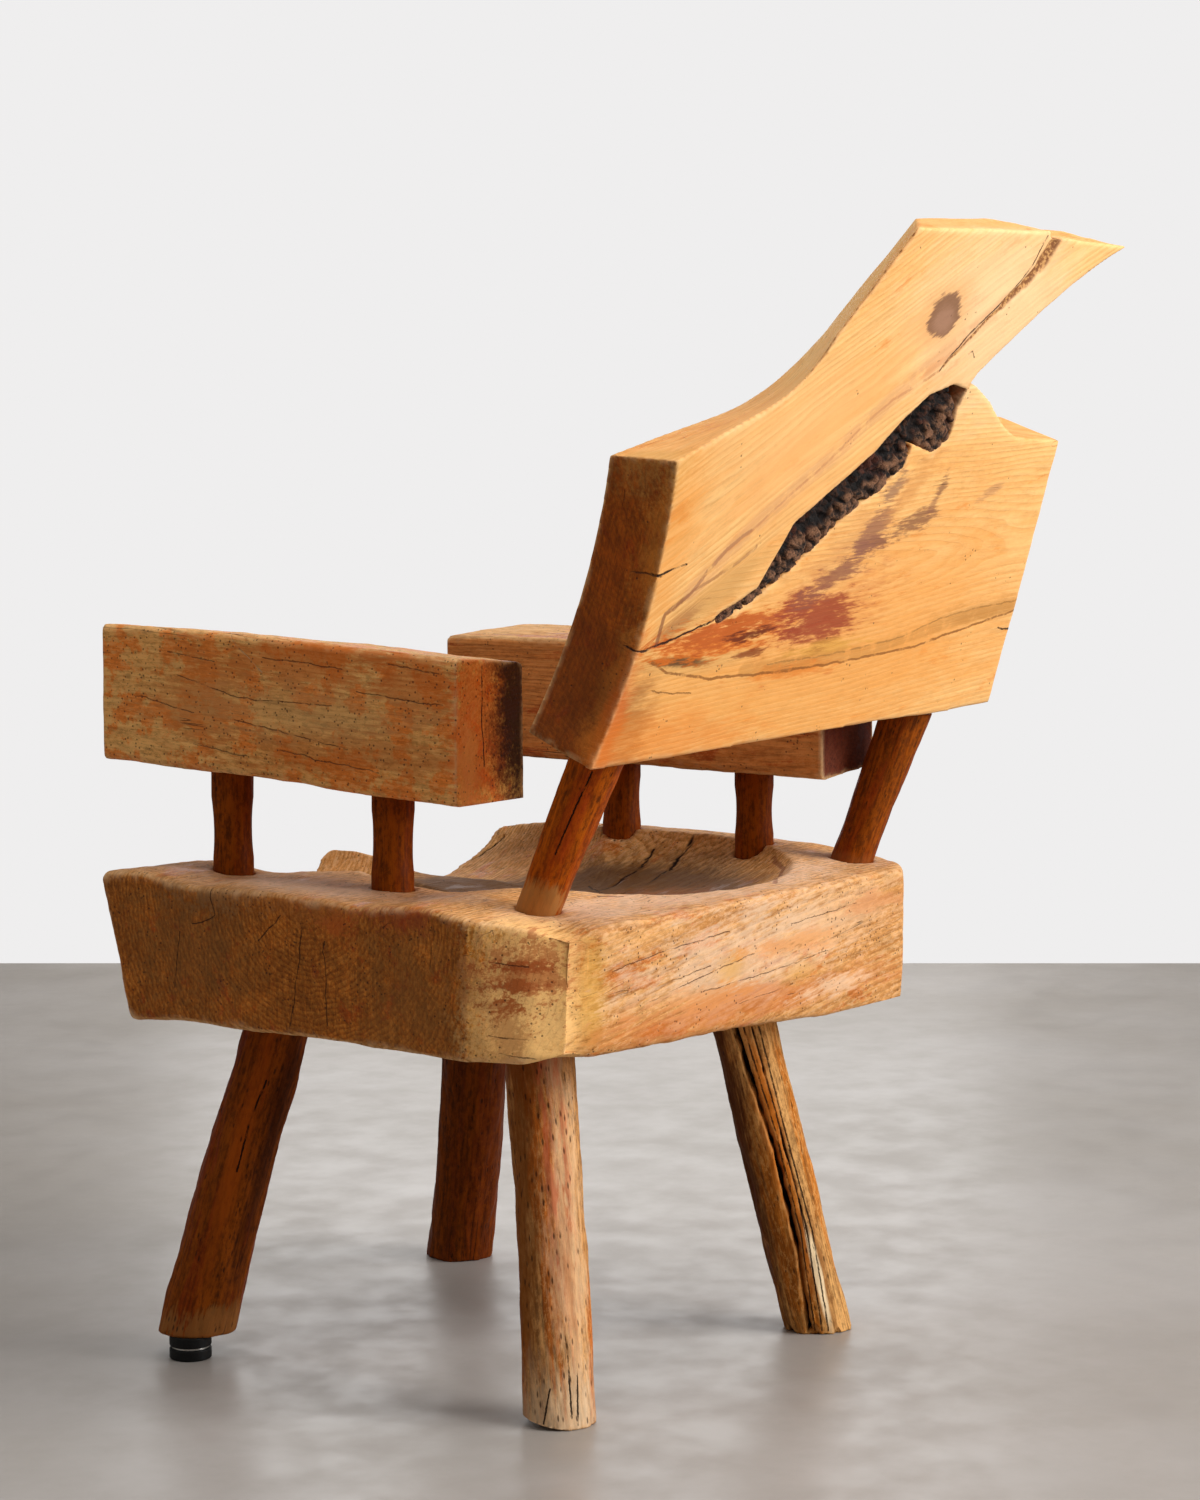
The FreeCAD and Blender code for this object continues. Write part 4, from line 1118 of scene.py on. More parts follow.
@dataclass
class Branches:
    """Legs, arm posts and back posts: peeled branches under old varnish."""

    leg_dent: float = 0.0020
    post_dent: float = 0.0009
    outer_side: Point = (0.8, 0.6, 0.0)
    bend_start: float = 0.02
    bend_length: float = 0.27
    seat_hole: Span = (0.325, 0.302)
    end_share: float = 0.12
    pith_offset: Point = (0.004, 0.003, 0.0)

    def front_left_leg(self) -> Branch:
        """Dark, streaked orange on its outer side, with a paler sawn foot."""
        up = (-0.149, 0.217, 0.964)
        return Branch(
            tone("94480a"), tone("562402"), tone("743404"), tone("843002"), 0.5,
            marks=(
                stain((243, -236, 30), (60, 60, 16), "946030", 0.75, 0.3, ragged=1.6),
                stain((242, -216, 200), (8, 8, 115), "b0500c", 0.6, 0.6, up),
                stain((220, -196, 190), (13, 13, 130), "260a02", 0.7, 0.6, up),
            ),
            splits=(Split(path((227, -198, 256), (236, -210, 219), (244, -219, 174)), 0.0014),
                    Split(path((230, -190, 160), (234, -205, 110), (240, -215, 70)), 0.0016)),
            speckle=0.9)

    def rear_left_leg(self) -> Branch:
        """Pale speckled tan with a red-orange streak below the seat, painted shade down the side
        away from the window and a painted highlight down the side facing it.
        """
        up = (-0.137, -0.214, 0.967)
        return Branch(
            tone("d49a5e"), tone("8a5428"), tone("ac6e30"), tone("bc5c10"), 0.45,
            marks=(
                stain((200, 74, 300), (40, 40, 26), "6b2c08", 0.7, 0.6, ragged=1.3),
                # Painted shade: dark brown down the side away from the window.
                stain((225, 82, 155), (19, 19, 190), "7e4208", 0.8, 0.6,
                     (-0.130, -0.097, 0.987), 1.2),
                # Painted highlight: pale tan down the side facing the window.
                stain((207, 120, 150), (15, 15, 190), "f0c698", 0.55, 0.6,
                     (-0.163, -0.188, 0.967), 1.4),
                stain((206, 100, 225), (5, 5, 75), "b43c04", 0.6, 0.6, up, 2.6),
                stain((192, 106, 240), (4, 4, 60), "b44408", 0.6, 0.6, up, 2.6),
                stain((215, 130, 120), (5, 5, 60), "a85414", 0.5, 0.6, up, 1.6),
                stain((222, 124, 6), (50, 50, 34), "d8c0a0", 0.5, 0.9, ragged=1.0),
            ),
            splits=(Split(path((232, 140, 60), (236, 147, 10)), 0.0014),
                    Split(path((224, 143, 95), (231, 150, 4)), 0.0013),
                    Split(path((246, 132, 34), (250, 128, 6)), 0.0012),
                    Split(path((216, 112, 300), (221, 122, 210), (226, 134, 140)), 0.0012)),
            speckle=1.5, sawn=slanted((0.215, 0.133, 0.0), (0.59, -0.81, 0), 0.16),
            lean=(-0.007, 0.007))

    def rear_right_leg(self) -> Branch:
        """Deeply cracked from seat to floor, with a loose splinter and a torn foot."""
        down = (-0.176, 0.17, -0.97)
        first = path((-80, 93, 305), (-91, 107, 248), (-106, 127, 176), (-121, 142, 85),
                     (-133, 148, 0))
        strips = (
            path((-88, 103, 290), (-107, 127, 190), (-123, 143, 100), (-137, 151, 4)),
            path((-93, 109, 290), (-111, 130, 190), (-128, 147, 100), (-141, 156, 4)),
            path((-97, 114, 290), (-115, 132, 190), (-132, 150, 100), (-146, 160, 4)),
        )
        return Branch(
            tone("dca462"), tone("8f5420"), tone("b0702c"), tone("c06c1a"), 0.35,
            marks=(
                # Painted shade: dark brown down the side away from the window.
                stain((-105, 88, 200), (19, 19, 190), "441603", 0.85, 0.4, down, 0.8),
                stain((-106, 128, 180), (9, 9, 130), "b8600c", 0.75, 0.5, down, 0.9),
                stain((-130, 150, 60), (14, 14, 60), "7a4010", 0.6, 0.5, down, 1.4),
                stain((-137, 157, 48), (4.4, 4.4, 56), "f4d8ac", 0.97, 0.3, down, 0.3),
                stain((-118, 148, 205), (9, 9, 100), "c8935a", 0.5, 0.5, down, 1.2),
            ),
            splits=tuple(Split(points, 0.0014, tone("1d0d05"), 0.9) for points in strips)
            + (Split(path((-106, 124, 300), (-122, 141, 190), (-138, 157, 120)), 0.0011),
               Split(path((-124, 140, 130), (-137, 150, 50), (-146, 152, 4)), 0.0014),
               Split(path((-150, 152, 70), (-158, 158, 4)), 0.0016)),
            grooves=(Groove(first, 0.0070, 0.014), Groove(strips[1], 0.0036, 0.003),
                     Groove(path((-150, 154, 60), (-158, 160, 0)), 0.005, 0.006)),
            speckle=0.9, grain=0.0016, sawn=frayed)

    def front_right_leg(self) -> Branch:
        """Dark red-brown."""
        return Branch(tone("7e3a02"), tone("441a01"), tone("5e2801"), tone("6c2a01"), 0.6,
                      marks=(stain((-40, -150, 180), (22, 22, 190), "3a1804", 0.5, 0.6),),
                      speckle=0.7)

    def post(self, marks: tuple[Mark, ...] = (), splits: tuple[Split, ...] = ()) -> Branch:
        """Old orange varnish with dark streaks."""
        return Branch(tone("b45606"), tone("662802"), tone("823602"), tone("9a3e02"), 0.6,
                      marks, splits, speckle=0.5, grain=0.0018)

    def dark_post(self, marks: tuple[Mark, ...] = ()) -> Branch:
        """Darker sister of the post."""
        return Branch(tone("984a06"), tone("502002"), tone("6a3004"), tone("823604"), 0.6,
                      marks, speckle=0.6, grain=0.0018)

    def all(self) -> dict[str, tuple[Branch, Slot]]:
        """Every branch node with its looks."""
        left_bare = (stain((261, 127, 446), (26, 26, 20), "b07c44", 0.75, 0.3),
                     stain((259, 165, 520), (7, 7, 50), "b8400c", 0.5, 0.6,
                          (0, 0.45, 0.9)),
                     stain((270, 150, 480), (6, 6, 60), "5a2206", 0.6, 0.6,
                          (0, 0.45, 0.9)))
        right_bare = (stain((-202, 136, 430), (26, 26, 10), "9a5c30", 0.45, 0.5),
                      stain((-205, 168, 500), (7, 7, 50), "8c2c08", 0.6, 0.6,
                           (-0.1, 0.4, 0.9)))
        left_splits = (Split(path((262, 150, 490), (261, 170, 530), (260, 186, 560)), 0.0012),
                       Split(path((266, 128, 440), (267, 150, 480)), 0.0014))
        found = {
            "leg_front_left": (self.front_left_leg(), Slot.LEG),
            "leg_rear_left": (self.rear_left_leg(), Slot.LEG),
            "leg_rear_right": (self.rear_right_leg(), Slot.LEG),
            "leg_front_right": (self.front_right_leg(), Slot.LEG),
            "back_post_left": (self.post(left_bare, left_splits), Slot.POST),
            "back_post_right": (self.dark_post(right_bare), Slot.POST),
        }
        for corner in ("front_left", "rear_left", "rear_right", "front_right"):
            found[f"arm_post_{corner}"] = (self.dark_post(), Slot.POST)
        return found

    def axis(self, piece: HewnPiece) -> tuple[Vector, Vector]:
        """Lower and upper middle of a branch, from its own end slices."""
        places = piece.read("co")
        height = places[:, 2]
        band = (height.max() - height.min()) * self.end_share
        low = places[height < height.min() + band].mean(axis=0)
        high = places[height > height.max() - band].mean(axis=0)
        return Vector(low), Vector(high)

    def finish(self, node: str, branch: Branch, start: Vector, end: Vector) -> LogFinish:
        """The branch's wood, its rings off the middle so that they surface in long loops."""
        along = (end - start).normalized()
        pith = start + Vector(self.pith_offset)
        return LogFinish(
            f"{node}_branch", pith=tuple(pith), along=tuple(along), pale=branch.pale,
            late=branch.late, tint=branch.tint, varnish=branch.varnish, ring=0.0030,
            ring_strength=0.45, varnish_amount=branch.varnish_amount, speckle=branch.speckle,
            check=0.75, streak=0.9, fibre=0.85, patch_run=0.14, grime=0.6,
            crack_wander=0.0014, wander=0.006, bare_rough=0.7, coat_rough=0.5, gloss=0.08,
            wear=branch.pale, wear_strength=0.3, speck_run=0.3,
            marks=branch.marks,
            splits=tuple(replace(split, face=self.outer_side) for split in branch.splits))

    def bend(self, piece: HewnPiece, lean: tuple[float, float]) -> None:
        """Lean a leg further between its foot and the seat.

        Args:
            piece: the leg.
            lean: how far it moves across and back just below the seat, in metres.
        """
        places = piece.read("co")
        height = places[:, 2]
        share = np.clip((height - self.bend_start) / self.bend_length, 0.0, 1.0)
        share *= soft_step(*self.seat_hole, height)
        places[:, :2] += np.array(lean) * share[:, None]
        piece.place(places)

    def build(self) -> None:
        """Make every branch."""
        for node, (branch, slot) in self.all().items():
            depth = self.leg_dent if slot is Slot.LEG else self.post_dent
            piece = HewnPiece(node, branch.grain, 2)
            if branch.lean != (0.0, 0.0):
                self.bend(piece, branch.lean)
            start, end = self.axis(piece)
            piece.work(lambda place: dent(place, 0.03, depth, (1, 1, 4))
                       + dent(place, 0.006, depth * 0.25, (1, 1, 8)))
            if branch.grooves:
                piece.carve(branch.grooves, wander=0.0008)
            if branch.sawn:
                piece.saw(branch.sawn)
            piece.done(self.finish(node, branch, start, end))


@dataclass
class Armrests:
    """Two hewn beams."""

    grain: float = 0.0026
    under_drop: float = 0.005
    under_rear_drop: float = 0.003
    under_height: Span = (0.580, 0.545)
    rear_depth: Span = (-0.15, -0.05)

    def left(self) -> LogFinish:
        """Brown speckled side, honey top, orange end, near black on its inner half where the
        backrest's shadow is painted.
        """
        faces = (
            FaceTone("outer", (1, 0, 0), tone("fff0d0"), 0.95, 0.7, 0.9),
            FaceTone("end_grain", (0, 1, 0), tone("fff6c0"), 1.0, 0.7, 0.9, 0.4),
        )
        marks = (
            stain((282, -106, 640), (9, 90, 26), "cc6820", 0.65, 0.5, ragged=2.0),
            stain((282, -222, 600), (9, 50, 40), "cc7430", 0.6, 0.5, ragged=2.0),
            stain((282, 20, 625), (9, 50, 34), "c8641e", 0.6, 0.5, ragged=2.0),
            stain((282, -60, 560), (9, 120, 18), "b86020", 0.5, 0.5, ragged=2.0),
            stain((284, -120, 595), (9, 130, 20), "c9965c", 0.4, 0.5, ragged=1.8),
            stain((250, 64, 590), (46, 9, 90), "de5c0c", 0.65, 0.6, ragged=1.6),
            stain((266, 64, 560), (12, 9, 34), "e89a50", 0.5, 0.6, ragged=2.0),
            # Painted shadow: near black over the inner half of the rear end, where the backrest's
            # shadow falls.
            stain((194, 64, 600), (38, 9, 92), "200200", 0.95, 0.5, ragged=0.7),
        )
        cracks = (
            path((282, -250, 620), (282, -177, 603), (282, -72, 602)),
            path((282, -190, 585), (282, -54, 566)),
            path((282, -44, 615), (282, 49, 608)),
            path((282, -260, 640), (282, -205, 634)),
            path((282, -130, 560), (282, -20, 548)),
            path((282, -300, 600), (282, -230, 588)), path((282, -150, 640), (282, -60, 634)),
            path((282, -10, 640), (282, 45, 634)), path((282, -230, 560), (282, -170, 553)),
        )
        side = (1, 0, 0)
        splits = tuple(Split(points, 0.0008, tone("3a1a0a"), 0.65, face=side)
                       for points in cracks)
        splits += (Split(path((277, -190, 658), (282, -150, 627)), 0.001, tone("d8a878"), 0.8,
                         face=side),
                   Split(path((246, 63, 640), (247, 63, 600), (243, 63, 556)), 0.0012))
        return LogFinish(
            "left_beam", pith=mm(200, 0, 520), along=(0.05, 1, -0.06),
            pale=tone("f6c484"), late=tone("cc8c4a"), tint=tone("e6a45e"),
            varnish=tone("ec7c1c"), ring=0.0036, ring_strength=0.3, varnish_amount=0.52,
            speckle=1.25, check=0.3, streak=0.5, fibre=0.45, patch_run=1.0, grime=0.5,
            wear=tone("f0bc84"), wear_strength=0.4,
            faces=faces, marks=marks, splits=splits)

    def right(self) -> LogFinish:
        """Honey on top, orange-brown on the inner side, purple-brown on the rear end."""
        faces = (FaceTone("inner", (1, 0, 0), tone("f0c494"), 0.9, 0.7, 0.9),
                 FaceTone("end_grain", (0, 1, 0), tone("7a4c48"), 1.0, 0.7, 0.9))
        return LogFinish(
            "right_beam", pith=mm(-210, 0, 500), along=(-0.03, 1, 0.02),
            pale=tone("e2b078"), late=tone("bb7a40"), tint=tone("cf9254"),
            varnish=tone("b85e22"), ring=0.0036, ring_strength=0.35, varnish_amount=0.35,
            speckle=0.7, check=0.4, fibre=0.5, grime=0.35, wear=tone("e2b98a"),
            wear_strength=0.5, faces=faces)

    def settle(self, piece: HewnPiece) -> None:
        """Lower the left beam's underside."""
        places = piece.read("co")
        low = soft_step(*self.under_height, places[:, 2])
        rear = soft_step(*self.rear_depth, places[:, 1])
        places[:, 2] -= (self.under_drop + self.under_rear_drop * rear) * low
        piece.place(places)

    def build(self) -> None:
        """Make both beams."""
        for node, finish in (("armrest_left", self.left()), ("armrest_right", self.right())):
            piece = HewnPiece(node, self.grain, 2)
            piece.work(lambda place: dent(place, 0.07, 0.0012) + dent(place, 0.015, 0.0003))
            if node == "armrest_left":
                self.settle(piece)
            piece.done(finish)


# Lower rim of the bark crevice on the slab's rear face, in the slab's frame.
LOWER_RIM = path((149, 0, 121), (105, 0, 138), (68, 0, 158), (36, 0, 181), (-8, 0, 215),
                 (-41, 0, 229), (-71, 0, 253), (-112, 0, 263), (-132, 0, 296))


@dataclass
class BackSlab:
    """The leaning crotch slab and the bark grown into it."""

    grain: float = 0.0029
    bark_grain: float = 0.0014
    bark_middle: Point = mm(10, 0, 217)
    bark_across: Point = (0.54, 0.0, 0.842)
    bark_along: Point = (-0.842, 0.0, 0.54)
    bark_cells: Point = (52, 60, 74)
    bark_lowest: float = -0.006
    bark_highest: float = 0.0105
    bark_swell: float = 0.0095
    bark_sink: float = 0.010
    bark_slope: Span = (-0.006, 0.014)
    bark_lump: float = 0.011
    bark_lump_level: float = 0.55
    bark_crumb: float = 0.0030
    bark_seam: float = 0.002
    bark_pale_rise: float = 0.010
    swing_fineness: float = 70
    swing: float = 0.7
    crumb_fineness: float = 160

    def marks(self) -> tuple[Mark, ...]:
        """Stains of the rear face."""
        return (
            stain((60, 0, 60), (330, 20, 62), "e89a42", 0.45, 0.6, ragged=0.8),
            stain((-150, 0, 390), (120, 20, 80), "fad8ae", 0.5, 0.7, ragged=0.6),
            stain((60, 0, 300), (36, 20, 150), "f6a860", 0.4, 0.7, (-0.8, 0, 0.6), 1.0),
            stain((100, 0, 280), (110, 20, 60), "f4b877", 0.4, 0.7),
            stain((-110, 0, 120), (240, 20, 100), "e69646", 0.4, 0.7, ragged=0.8),
            stain((262, -30, 285), (14, 60, 50), "d09c50", 0.5, 0.6),
            stain((240, -34, 20), (34, 56, 70), "743604", 0.55, 0.6),
            stain((262, 0, 45), (18, 10, 66), "cc5a14", 0.65, 0.6, ragged=0.8),
            stain((246, 0, 200), (24, 20, 70), "e8943a", 0.45, 0.7),
            stain((200, 0, 18), (130, 20, 22), "e07c24", 0.5, 0.7),
            stain((-63, 0, 387), (38, 12, 28), "dd9f62", 0.5, 0.5, ragged=0.5),
            stain((-63, 0, 387), (25, 10, 18.5), "74503f", 0.85, 0.12, ragged=0.6),
            stain((-64, 0, 383), (15, 10, 11), "a47a60", 0.8, 0.4, ragged=0.6),
            stain((168, 0, 143), (9, 14, 72), "cf9a58", 0.75, 0.6, (-0.87, 0, 0.49), 0.8),
            stain((208, 0, 122), (9, 8, 30), "a2683c", 0.6, 0.6, (-0.87, 0, 0.49), 1.2),
            stain((165, 0, 86), (8, 9, 68), "d6a664", 0.6, 0.5, (-1, 0, 0.02), 0.8),
            stain((188, 0, 88), (8, 4.5, 38), "3e170a", 0.85, 0.4, (-1, 0, -0.05), 1.2),
            stain((-15, 0, 172), (9, 20, 84), "d0945a", 0.45, 0.6, (-0.8, 0, 0.6), 2.2),
            stain((128, 0, 108), (9, 15, 96), "d8701c", 0.85, 0.5, (-1, 0, 0.06), 2.4),
            stain((110, 0, 112), (9, 10, 80), "a8441a", 0.6, 0.5, (-1, 0, 0.06), 3.0),
            stain((-14, 0, 120), (9, 32, 74), "c8743c", 0.5, 0.6, (-1, 0, 0.12), 2.0),
            stain((-4, 0, 117), (9, 23, 52), "984028", 0.88, 0.4, (-1, 0, 0.05), 2.0),
            stain((93, 0, 107), (8, 5, 25), "5c2010", 0.85, 0.4, (-1, 0, 0.1), 2.0),
            stain((92, 0, 89), (8, 3.5, 24), "7c3414", 0.8, 0.4, (-1, 0, 0.1), 1.8),
            stain((-22, 0, 157), (9, 13, 44), "8c5844", 0.8, 0.5, (-0.89, 0, 0.46), 2.2),
            stain((-51, 0, 189), (9, 12, 30), "8c5c4a", 0.75, 0.5, (-0.69, 0, 0.72), 2.2),
            stain((-68, 0, 231), (9, 9, 20), "846050", 0.7, 0.5, (-0.79, 0, 0.61), 2.2),
            stain((-114, 0, 199), (9, 9, 28), "80543e", 0.8, 0.5, (-0.97, 0, 0.25), 2.2),
            stain((-147, 0, 231), (9, 6, 11), "80543e", 0.75, 0.5, (-0.5, 0, 0.85), 1.8),
            stain((-141, 0, 216), (9, 5, 9), "8a5a44", 0.6, 0.5, (-0.5, 0, 0.85), 1.8),
            stain((-100, 0, 234), (9, 13, 30), "d2904e", 0.5, 0.6, (-0.7, 0, 0.7), 2.4),
            stain((-240, 0, 226), (9, 5, 16), "b07c58", 0.5, 0.6, (-0.9, 0, 0.4), 1.6),
            stain((-30, 0, 88), (8, 6, 60), "cf9c40", 0.55, 0.5, (-1, 0, 0.05), 1.8),
            stain((20, 0, 70), (8, 6, 62), "dc7c28", 0.7, 0.5, (-1, 0, 0.03), 1.6),
            stain((-290, 0, 108), (9, 9, 70), "b07a3c", 0.5, 0.6, (-1, 0, 0.05), 1.2),
        )

    def splits(self) -> tuple[Split, ...]:
        """Cracks, and the olive line under the stain."""
        olive = tone("7e4a1c")
        dark = tone("2a1006")
        end = (1, 0, 0.05)
        return (
            Split(path((90, 0, 75), (0, 0, 76), (-110, 0, 81), (-200, 0, 93), (-270, 0, 103),
                       (-350, 0, 111)), 0.011, tone("c08440"), 0.5, 0.0),
            Split(path((228, 0, 90), (202, 0, 79), (138, 0, 70), (49, 0, 69), (-71, 0, 72),
                       (-188, 0, 79), (-255, 0, 90), (-351, 0, 105)), 0.0022, olive, 0.75, 0.1),
            Split(path((53, 0, 77), (-57, 0, 81), (-152, 0, 89), (-224, 0, 105), (-274, 0, 111),
                       (-351, 0, 115)), 0.0014, tone("9a6c34"), 0.6, 0.1),
            Split(path((262, -34, 159), (258, -18, 162), (254, 0, 165)), 0.0014, dark, 0.7,
                  face=end),
            Split(path((256, 0, 165), (244, 0, 168), (219, 0, 174)), 0.0016),
            Split(path((258, -8, 101), (246, 0, 101), (215, 0, 107), (182, 0, 116),
                       (150, 0, 124)), 0.0018, dark),
            Split(path((216, 0, 64), (190, 0, 60), (157, 0, 58)), 0.0010, olive, 0.6),
            Split(path((229, 0, 106), (230, 0, 120), (229, 0, 131), (202, 0, 148), (187, 0, 166),
                       (167, 0, 184), (140, 0, 199)), 0.0042, tone("7c4832"), 0.7, 0.1),
            Split(path((140, 0, 199), (96, 0, 229), (54, 0, 256), (10, 0, 291), (-21, 0, 311),
                       (-82, 0, 336)), 0.0026, tone("b0643c"), 0.5, 0.0),
            Split(path((202, 0, 150), (140, 0, 201), (54, 0, 258), (-21, 0, 313), (-100, 0, 362),
                       (-160, 0, 400)), 0.016, tone("cf9468"), 0.4, 0.0),
            Split(path((219, 0, 135), (199, 0, 151), (170, 0, 161), (143, 0, 174), (124, 0, 185)),
                  0.0030, tone("96603e"), 0.55, 0.0),
            Split(path((-196, 0, 460), (-184, 0, 431), (-168, 0, 412), (-148, 0, 396),
                       (-123, 0, 378), (-100, 0, 357), (-82, 0, 336)), 0.0016, dark, 0.85),
            Split(path((-134, 0, 350), (-128, 0, 356), (-122, 0, 352)), 0.0012, dark, 0.8),
            Split(path((-330, 0, 88), (-350, 0, 86), (-362, 0, 84)), 0.0014, dark),
            Split(path((262, -55, 300), (260, -57, 270)), 0.0010, dark, 0.6, face=end),
            Split(path((268, -22, 292), (267, -20, 272)), 0.0010, dark, 0.6, face=end),
            Split(path((266, -40, 285), (265, -42, 268)), 0.0009, dark, 0.6, face=end),
            Split(path((262, -48, 220), (262, -46, 180)), 0.0008, dark, 0.6, face=end),
            Split(path((225, -4, 80), (226, -26, 64), (222, -44, 50)), 0.0016),
        )

    def finish(self) -> CrotchFinish:
        """Honey pine, near black brown on the left end."""
        faces = (
            FaceTone("end_grain", (1, 0, 0.05), tone("a66a1e"), 1.0, 0.6, 0.8, 0.8),
            FaceTone("waney", (0.45, 0, 0.9), tone("fff2ee"), 0.8, 0.7, 0.85),
        )
        return CrotchFinish(
            "back_crotch", pith=mm(272, -4, 132), along=(-1, -0.066, 0.07), frame=BACK,
            pale=tone("f6c27c"), late=tone("dc9648"), tint=tone("eeaa5e"),
            varnish=tone("e89444"), ring=0.0046, ring_strength=0.42, varnish_amount=0.24,
            speckle=0.25, check=0.1, streak=0.6, fibre=0.22, grime=0.12, bare_rough=0.55,
            coat_rough=0.38, wander=0.012,
            wear=tone("f3c890"), wear_strength=0.3, faces=faces, marks=self.marks(),
            splits=self.splits(), cut_colour=tone("845430"), cut_flake=tone("cc985e"),
            upper_pith=mm(250, -35, 190), upper_along=(-0.88, 0, 0.47),
            seam_place=mm(256, 0, 101), seam_up=(0.4994, 0, 0.8664))

    def build(self) -> None:
        """Make the slab and its bark."""
        piece = HewnPiece("backrest", self.grain, 4, BACK)
        places, normals = piece.read("co"), piece.read("normal")
        torn = Groove(LOWER_RIM, 0.030, 1.0).reach(BACK.local(places))
        swell = np.array([dent(Vector(p), 0.10, 0.0010) for p in places])
        swell += torn * np.array([dent(Vector(p), 0.02, 0.0018) for p in places])
        piece.place(places + normals * swell[:, None])
        strip = path((-218, -30, 466), (-216, 0, 458), (-202, 0, 435), (-183, 0, 416),
                     (-157, 0, 397), (-130, 0, 377), (-88, 0, 341))
        piece.carve((
            Groove(strip[:3], 0.030, 0.0036), Groove(strip[2:4], 0.022, 0.0034),
            Groove(strip[3:5], 0.014, 0.0028), Groove(strip[4:], 0.0065, 0.0020),
        ), BACK)
        piece.done(self.finish())
        self.build_bark()

    def build_bark(self) -> None:
        """Lumpy bark: deep along the upper rim, swelling to the face along the lower."""
        piece = HewnPiece("bark_inclusion", self.bark_grain, 1, BACK)
        places, normals = piece.read("co"), piece.read("normal")
        local = BACK.local(places)
        across = (local - np.array(self.bark_middle)) @ np.array(self.bark_across)
        length = local @ np.array(self.bark_along)
        turned = np.column_stack((length, local[:, 1], across)) * np.array(self.bark_cells)
        turned += [noise.noise_vector(Vector(p) * self.swing_fineness) * self.swing
                   for p in local]
        cells = np.array([noise.voronoi(spot)[0][:2] for spot in turned])
        lumps, seams = cells[:, 0], 1 - soft_step(0.02, 0.22, cells[:, 1] - cells[:, 0])
        crumbs = np.array([noise.fractal(Vector(p) * self.crumb_fineness, 0.8, 2.0, 4)
                           for p in local])
        outward = Euler(BACK.turn).to_matrix() @ Vector((0, 1, 0))
        front = soft_step(0.5, 0.9, normals @ np.array(outward))
        rise = self.bark_swell - self.bark_sink * soft_step(*self.bark_slope, across)
        rise += (self.bark_lump_level - lumps) * self.bark_lump
        rise += crumbs * self.bark_crumb - seams * self.bark_seam
        rise = np.clip(rise, self.bark_lowest, self.bark_highest)
        piece.place(places + normals * (rise * front)[:, None], inside=False)
        # The finish lightens raised lumps to ash and blackens the seams: painted shade in the sunk
        # parts and crevices.
        piece.paint("raised", np.clip(rise / self.bark_pale_rise, 0.0, 1.0))
        piece.paint("seam", seams)
        piece.done(BarkFinish())


@dataclass
class LevellingFoot:
    """Rubber pads, washer and screw under the front left leg: kept as they are."""

    def build(self) -> None:
        """Give each kept node its finish."""
        rubber = RubberFinish().material()
        steel = SteelFinish().material()
        dressed = {"foot_pad_lower": rubber, "foot_pad_upper": rubber,
                   "foot_washer": steel, "foot_screw": steel}
        for node, material in dressed.items():
            for place in HewnPiece.nodes[node].material_slots:
                place.material = material
            log.info("%s: kept and finished", node)


@dataclass(frozen=True)
class SoftBox:
    """One square soft light and what it is turned to."""

    name: str
    place: Point
    size: float
    power: float
    target: Point = (0.0, 0.0, 0.5)


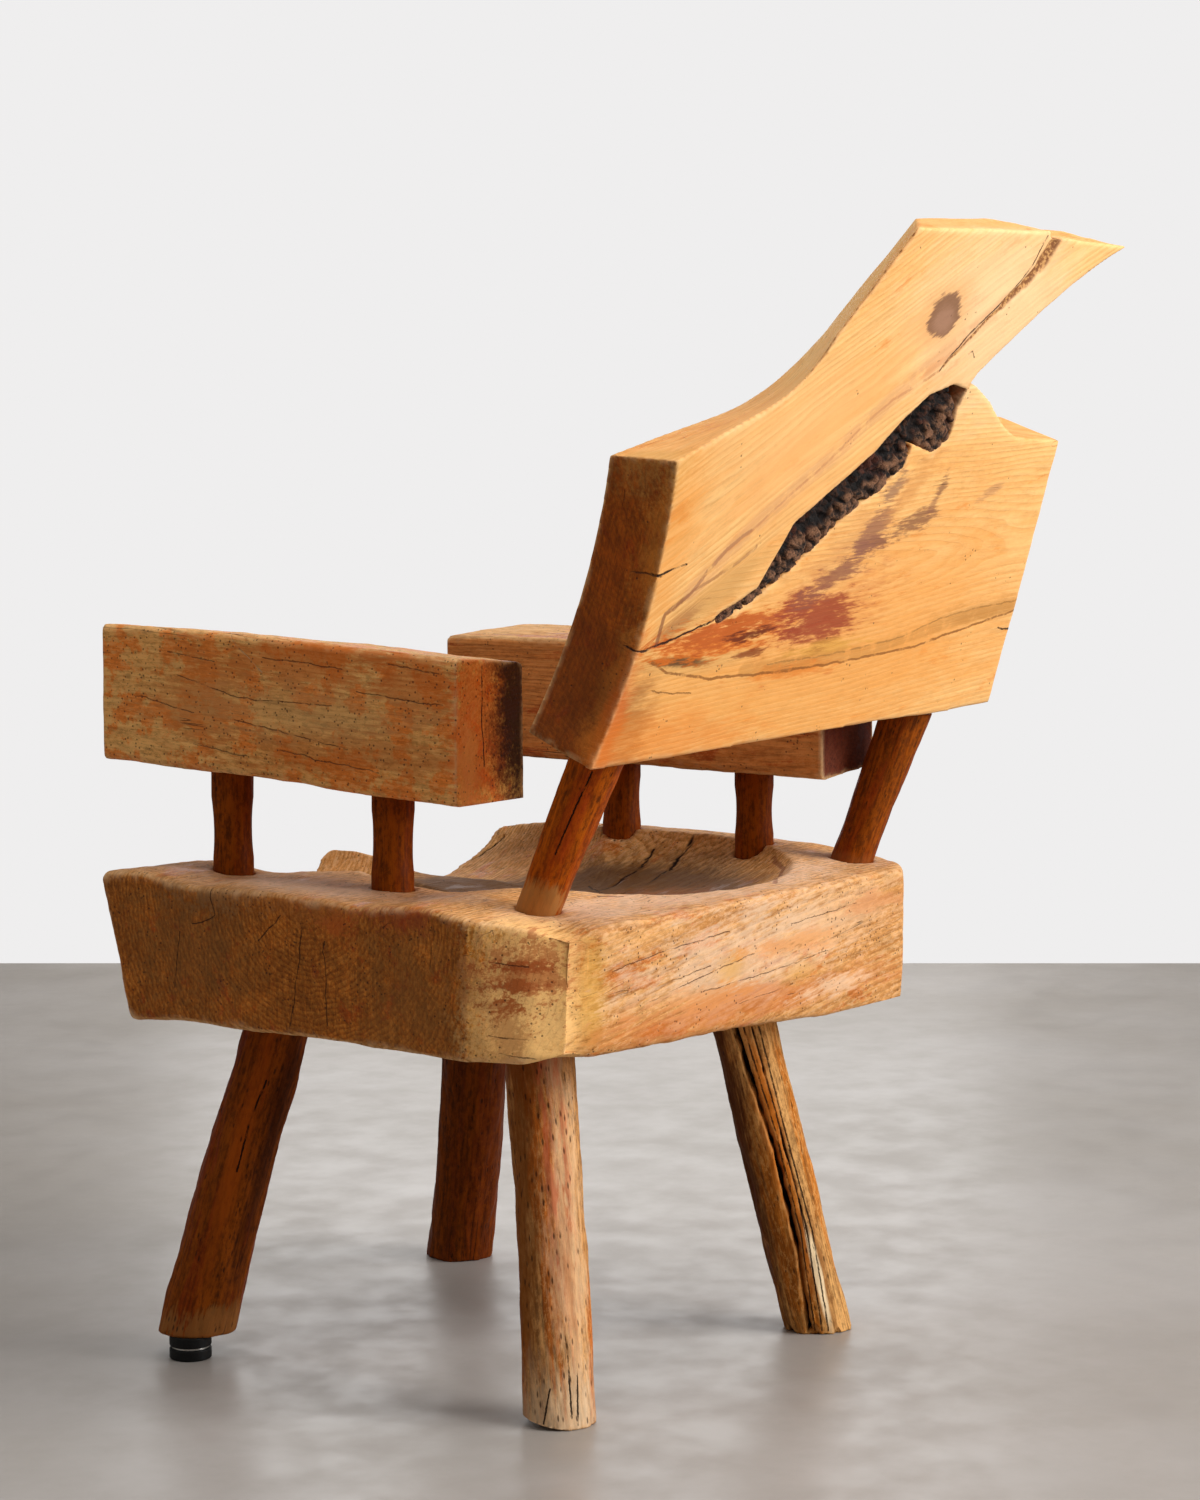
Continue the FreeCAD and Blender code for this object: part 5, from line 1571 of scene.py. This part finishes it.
@dataclass
class Studio:
    """Plain pale floor, soft lights and the camera at the photograph's place."""

    lights: tuple[SoftBox, ...] = (
        SoftBox("window", (-1.3, 3.4, 2.2), 2.4, 190.0),
        SoftBox("fill", (3.0, -1.6, 2.8), 2.5, 15.5),
        SoftBox("top", (0.0, 0.3, 3.6), 2.5, 60.0),
        SoftBox("wall bounce", (-1.9, -1.4, 0.8), 1.4, 11.0, (-1.3, -0.95, 0.0)),
    )
    camera_place: Point = (2.5322, 1.8447, 0.860)
    heading: float = math.radians(216.0)
    pitch: float = math.radians(5.73)
    focal_share: float = 3487 / 1500
    sensor_height: float = 36.0
    nearest_seen: float = 0.05
    floor_half: float = 4.0
    floor_end: float = 2.16
    fill_strength: float = 0.22

    def build(self) -> None:
        """Set the stage."""
        self.build_floor()
        self.build_world()
        self.build_lights()
        self.build_camera()

    def build_floor(self) -> None:
        """A pale square floor that ends where the photograph's wall begins."""
        back = self.floor_end - self.floor_half
        middle = Vector((math.cos(self.heading) * back, math.sin(self.heading) * back, 0.0))
        turned = Matrix.Translation(middle) @ Matrix.Rotation(self.heading, 4, "Z")
        work = bmesh.new()
        bmesh.ops.create_grid(work, x_segments=2, y_segments=2, size=self.floor_half,
                              matrix=turned)
        mesh = bpy.data.meshes.new("floor")
        work.to_mesh(mesh)
        work.free()
        floor = bpy.data.objects.new("floor", mesh)
        bpy.context.scene.collection.objects.link(floor)
        recipe = Recipe("pale_floor")
        cloud = recipe.noise(recipe.place, FLOOR_CLOUD)
        fine = recipe.noise(recipe.place, FLOOR_FINE)
        colour = recipe.over(tone("9a938c"), tone("a7a19c"), recipe.ramp(cloud, 0.35, 0.65))
        colour = recipe.over(colour, tone("979089"), recipe.ramp(fine, 0.5, 0.7, 0.0, 0.22))
        mesh.materials.append(recipe.finish(colour, recipe.ramp(fine, 0.3, 0.7, 0.34, 0.5),
                                            fine, 0.0002))

    def build_world(self) -> None:
        """Even white surroundings."""
        world = bpy.data.worlds.new("studio")
        bpy.context.scene.world = world
        world.use_nodes = True
        tree = world.node_tree
        tree.nodes.clear()
        rays = tree.nodes.new("ShaderNodeLightPath")
        seen = tree.nodes.new("ShaderNodeBackground")
        seen.inputs["Color"].default_value = (*tone("efeeee"), 1)
        fill = tree.nodes.new("ShaderNodeBackground")
        fill.inputs["Color"].default_value = (*tone("f8f4ee"), 1)
        fill.inputs["Strength"].default_value = self.fill_strength
        mix = tree.nodes.new("ShaderNodeMixShader")
        out = tree.nodes.new("ShaderNodeOutputWorld")
        tree.links.new(rays.outputs["Is Camera Ray"], mix.inputs[0])
        tree.links.new(fill.outputs[0], mix.inputs[1])
        tree.links.new(seen.outputs[0], mix.inputs[2])
        tree.links.new(mix.outputs[0], out.inputs["Surface"])

    def build_lights(self) -> None:
        """Window light from the right and behind, weak fill from the left."""
        for light in self.lights:
            lamp = bpy.data.lights.new(light.name, "AREA")
            lamp.shape = "SQUARE"
            lamp.size = light.size
            lamp.energy = light.power
            holder = bpy.data.objects.new(light.name, lamp)
            holder.location = light.place
            gaze = Vector(light.target) - Vector(light.place)
            holder.rotation_euler = gaze.to_track_quat("-Z", "Y").to_euler()
            bpy.context.scene.collection.objects.link(holder)

    def build_camera(self) -> None:
        """The camera, at the photograph's place and angle of view."""
        flat = math.cos(self.pitch)
        gaze = Vector((math.cos(self.heading) * flat, math.sin(self.heading) * flat,
                       -math.sin(self.pitch)))
        lens = bpy.data.cameras.new("camera")
        lens.sensor_fit = "VERTICAL"
        lens.sensor_height = self.sensor_height
        lens.lens = self.focal_share * lens.sensor_height
        lens.clip_start = self.nearest_seen
        camera = bpy.data.objects.new("camera", lens)
        camera.location = self.camera_place
        camera.rotation_euler = gaze.to_track_quat("-Z", "Y").to_euler()
        bpy.context.scene.collection.objects.link(camera)
        bpy.context.scene.camera = camera


def main() -> None:
    """Build the chair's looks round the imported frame."""
    logging.basicConfig(level=logging.INFO, format="%(name)s %(message)s")
    noise.seed_set(NOISE_SEED)
    HewnPiece.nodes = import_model()["nodes"]
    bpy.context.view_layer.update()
    bpy.context.scene.view_settings.view_transform = "Standard"
    for assembly in (SeatSlab(), Branches(), Armrests(), BackSlab(), LevellingFoot(), Studio()):
        assembly.build()
    bpy.context.view_layer.update()


if __name__ == "__main__":
    main()
